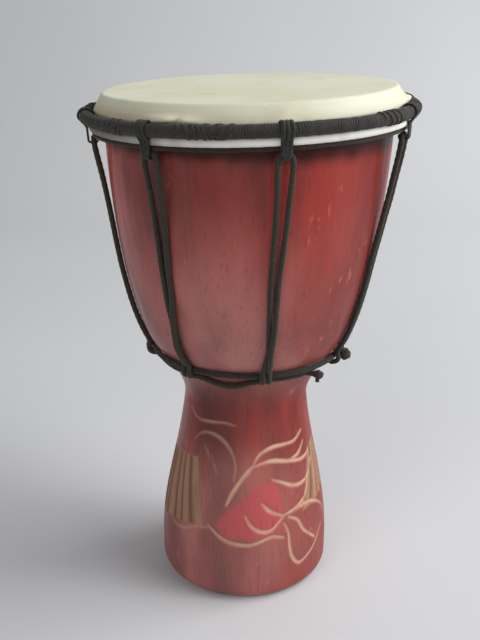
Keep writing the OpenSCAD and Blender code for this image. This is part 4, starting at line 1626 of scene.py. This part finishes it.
    def knot(self, middle: np.ndarray, radius: float, turned: Sequence[float],
             tail: Optional[float]) -> Surface:
        """A tight overhand knot, as a closed three-lobed knot line with a short cut tail.

        The line goes twice round while its distance from the middle swings three times.

        Args:
            middle: the knot's middle.
            radius: the knot's outer radius.
            turned: turns about X, Y and Z, in degrees.
            tail: length of the cut end from the middle, or None.

        Returns:
            The knot's surface.
        """
        t = np.linspace(0, 2 * math.pi, 150, endpoint=False)
        line = np.stack([np.sin(t) + 2 * np.sin(2 * t), np.cos(t) - 2 * np.cos(2 * t),
                         -1.9 * np.sin(3 * t)], -1)
        cord_r = 0.52 * radius
        turn = np.array(Matrix.Rotation(math.radians(turned[2]), 3, "Z") @ Matrix.Rotation(math.radians(turned[1]), 3, "Y")
                        @ Matrix.Rotation(math.radians(turned[0]), 3, "X"))
        line = line / 3.0 * (radius - cord_r) @ turn.T + middle
        parts = [Strand(line, cord_r, plies=3, lay=3.4 * radius, groove=0.14, sides=12, closed=True,
                        across=carried(headings(line, True), [0.2, 0.3, 1.0])).surface()]
        if tail:
            a = math.radians(self.sizes.lower_knot_at)
            aim = np.array([0.25 * math.sin(a) - 0.45 * math.cos(a),
                            -0.25 * math.cos(a) - 0.45 * math.sin(a), -0.86])
            places = [middle, middle + aim * tail * 0.4, middle + aim * tail * 0.75]
            parts.append(Strand(smooth_through(places, 0.4), 0.8 * self.sizes.cord_d / 2, plies=3, lay=9, groove=0.2,
                                sides=12, end_round=0.5).surface())
        return joined(parts)


# ---------------------------------------------------------------- the setting

@dataclass
class Studio:
    """Camera, soft lights, and a plain pale floor that curves up into a backdrop."""

    lens: float = 52.0
    eye: tuple = (0.0, -0.5224, 0.3508)
    pitch: float = 0.3451
    yaw: float = -0.0076
    roll: float = 0.0095
    floor: tuple = (212, 213, 215)
    room: float = 0.13
    seen: float = 0.8

    def camera(self) -> None:
        """The camera, turned by yaw, then pitch down, then roll."""
        data = bpy.data.cameras.new("camera")
        data.lens, data.sensor_width, data.clip_start, data.clip_end = self.lens, 36.0, 0.01, 50
        cam = bpy.data.objects.new("camera", data)
        bpy.context.scene.collection.objects.link(cam)
        ahead = Vector((math.sin(self.yaw) * math.cos(self.pitch), math.cos(self.yaw) * math.cos(self.pitch),
                        -math.sin(self.pitch)))
        right = Vector((math.cos(self.yaw), -math.sin(self.yaw), 0))
        up = right.cross(ahead)
        across = right * math.cos(self.roll) + up * math.sin(self.roll)
        above = up * math.cos(self.roll) - right * math.sin(self.roll)
        turn = Matrix((across, above, -ahead)).transposed().to_4x4()
        cam.matrix_world = Matrix.Translation(self.eye) @ turn
        bpy.context.scene.camera = cam

    def lamp(self, name: str, place: Sequence[float], aim: Sequence[float], size: float, power: float,
             tint: Sequence[float]) -> None:
        """A square soft lamp.

        Args:
            name: its name.
            place: where it hangs, in metres.
            aim: what it faces.
            size: its side, in metres.
            power: watts.
            tint: its colour, as linear light.
        """
        data = bpy.data.lights.new(name, "AREA")
        data.size, data.energy, data.color = size, power, tint
        lamp = bpy.data.objects.new(name, data)
        bpy.context.scene.collection.objects.link(lamp)
        lamp.location = place
        lamp.rotation_mode = "QUATERNION"
        lamp.rotation_quaternion = (Vector(aim) - Vector(place)).to_track_quat("-Z", "Y")

    def backdrop(self) -> None:
        """Floor and backdrop in one sheet: level to 0.9 m behind the drum, a quarter circle, and
        straight up."""
        bend = np.radians(np.arange(6, 91, 6))
        depth = np.concatenate([np.linspace(-1.6, 0.9, 12), 0.9 + 0.5 * np.sin(bend), [1.4, 1.4]])
        height = np.concatenate([np.zeros(12), 0.5 - 0.5 * np.cos(bend), [1.2, 2.4]])
        x = np.linspace(-2.4, 2.4, 5)
        grid = np.stack(np.broadcast_arrays(x[None, :], depth[:, None], height[:, None]), -1) / MM
        made = Surface.woven(grid, ring_closed=False)
        mesh = bpy.data.meshes.new("floor")
        mesh.from_pydata((made.points * MM).tolist(), [], made.corners.reshape(-1, 4)[:, ::-1].tolist())
        mesh.polygons.foreach_set("use_smooth", np.ones(len(mesh.polygons), bool))
        material, n, shader, spot = surface_tree("pale_floor")
        tone = n.blend(n.spread(n.noise(spot, 2.2, 2), 0.3, 0.7, 0, 0.3), self.floor, (202, 203, 206))
        n.tree.links.new(tone, shader.inputs["Base Color"])
        shader.inputs["Roughness"].default_value = 0.9
        shader.inputs["Specular IOR Level"].default_value = 0.1
        mesh.materials.append(material)
        obj = bpy.data.objects.new("floor", mesh)
        bpy.context.scene.collection.objects.link(obj)

    def world(self) -> None:
        """Even pale light from all round, whiter where it is seen directly, in the gloss or through
        something clear."""
        world = bpy.data.worlds.new("room")
        world.use_nodes = True
        bpy.context.scene.world = world
        n = Nodes(world.node_tree)
        sky = next(x for x in world.node_tree.nodes if x.type == "BACKGROUND")
        path = n.add("LightPath")
        plain = n.most(n.most(path.outputs["Is Camera Ray"], path.outputs["Is Glossy Ray"]),
                      path.outputs["Is Transmission Ray"])
        level = n.spread(plain, 0, 1, self.room, self.seen)
        sky.inputs["Color"].default_value = (0.97, 0.98, 1.0, 1.0)
        n.tree.links.new(level, sky.inputs["Strength"])

    def make(self) -> None:
        """Everything but the camera, and the plain view of the colours."""
        bpy.context.scene.view_settings.view_transform = "Standard"
        self.backdrop()
        self.world()
        self.lamp("window", (1.95, 0.2, 1.8), (0, 0, 0.2), 1.9, 54.0, (1.0, 1.0, 1.0))
        self.lamp("window_front", (1.7, -0.75, 1.1), (0, 0, 0.2), 1.4, 20.0, (1.0, 1.0, 1.0))
        self.lamp("sky_fill", (-0.7, -1.2, 0.9), (0, 0, 0.15), 1.1, 7.3, (1.0, 1.0, 1.0))


# ---------------------------------------------------------------- all of it

def dress_hoops(effects: Effects) -> None:
    """Steel for the three hoops, which keep their CAD shape inside the hide and the windings."""
    steel = HoopSteel().material(effects)
    for node in ("flesh_hoop", "crown_hoop", "waist_hoop"):
        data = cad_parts[node].data
        data.materials.clear()
        data.materials.append(steel)
        LOG.info("%s: steel", node)


def main() -> None:
    """Builds the drum from the camera and shell outwards."""
    logging.basicConfig(level=logging.INFO, format="%(message)s")
    studio = Studio()
    studio.camera()
    sizes = DrumSizes()
    effects = Effects()
    Lacing(sizes).make(effects)
    CarvedShell(sizes).make(effects)
    RawhideHead(sizes).make(effects)
    HemCord(sizes).make(effects)
    HoopWinding(sizes, "crown_winding", "crown_winding", "crown_wrap", CordUse.CROWN, sizes.crown_at, sizes.crown_wrap_r,
                1.3, 0.95, 13, 7, 0.11, 41, True, 0.7,
                ((-50, 3, 6), (-22, 7, 17), (46, 4, 9), (97, 3, 5), (150, 4, 9), (205, 3, 5), (262, 4, 8))).make(effects)
    CrownLoops(sizes).make(effects)
    HoopWinding(sizes, "waist_winding", "waist_winding", "waist_wrap", CordUse.WAIST, sizes.waist_at, sizes.waist_wrap_r,
                1.5, 0.7, 12, 7, 0.05, 51, False).make(effects)
    dress_hoops(effects)
    studio.make()


if __name__ == "__main__":
    main()
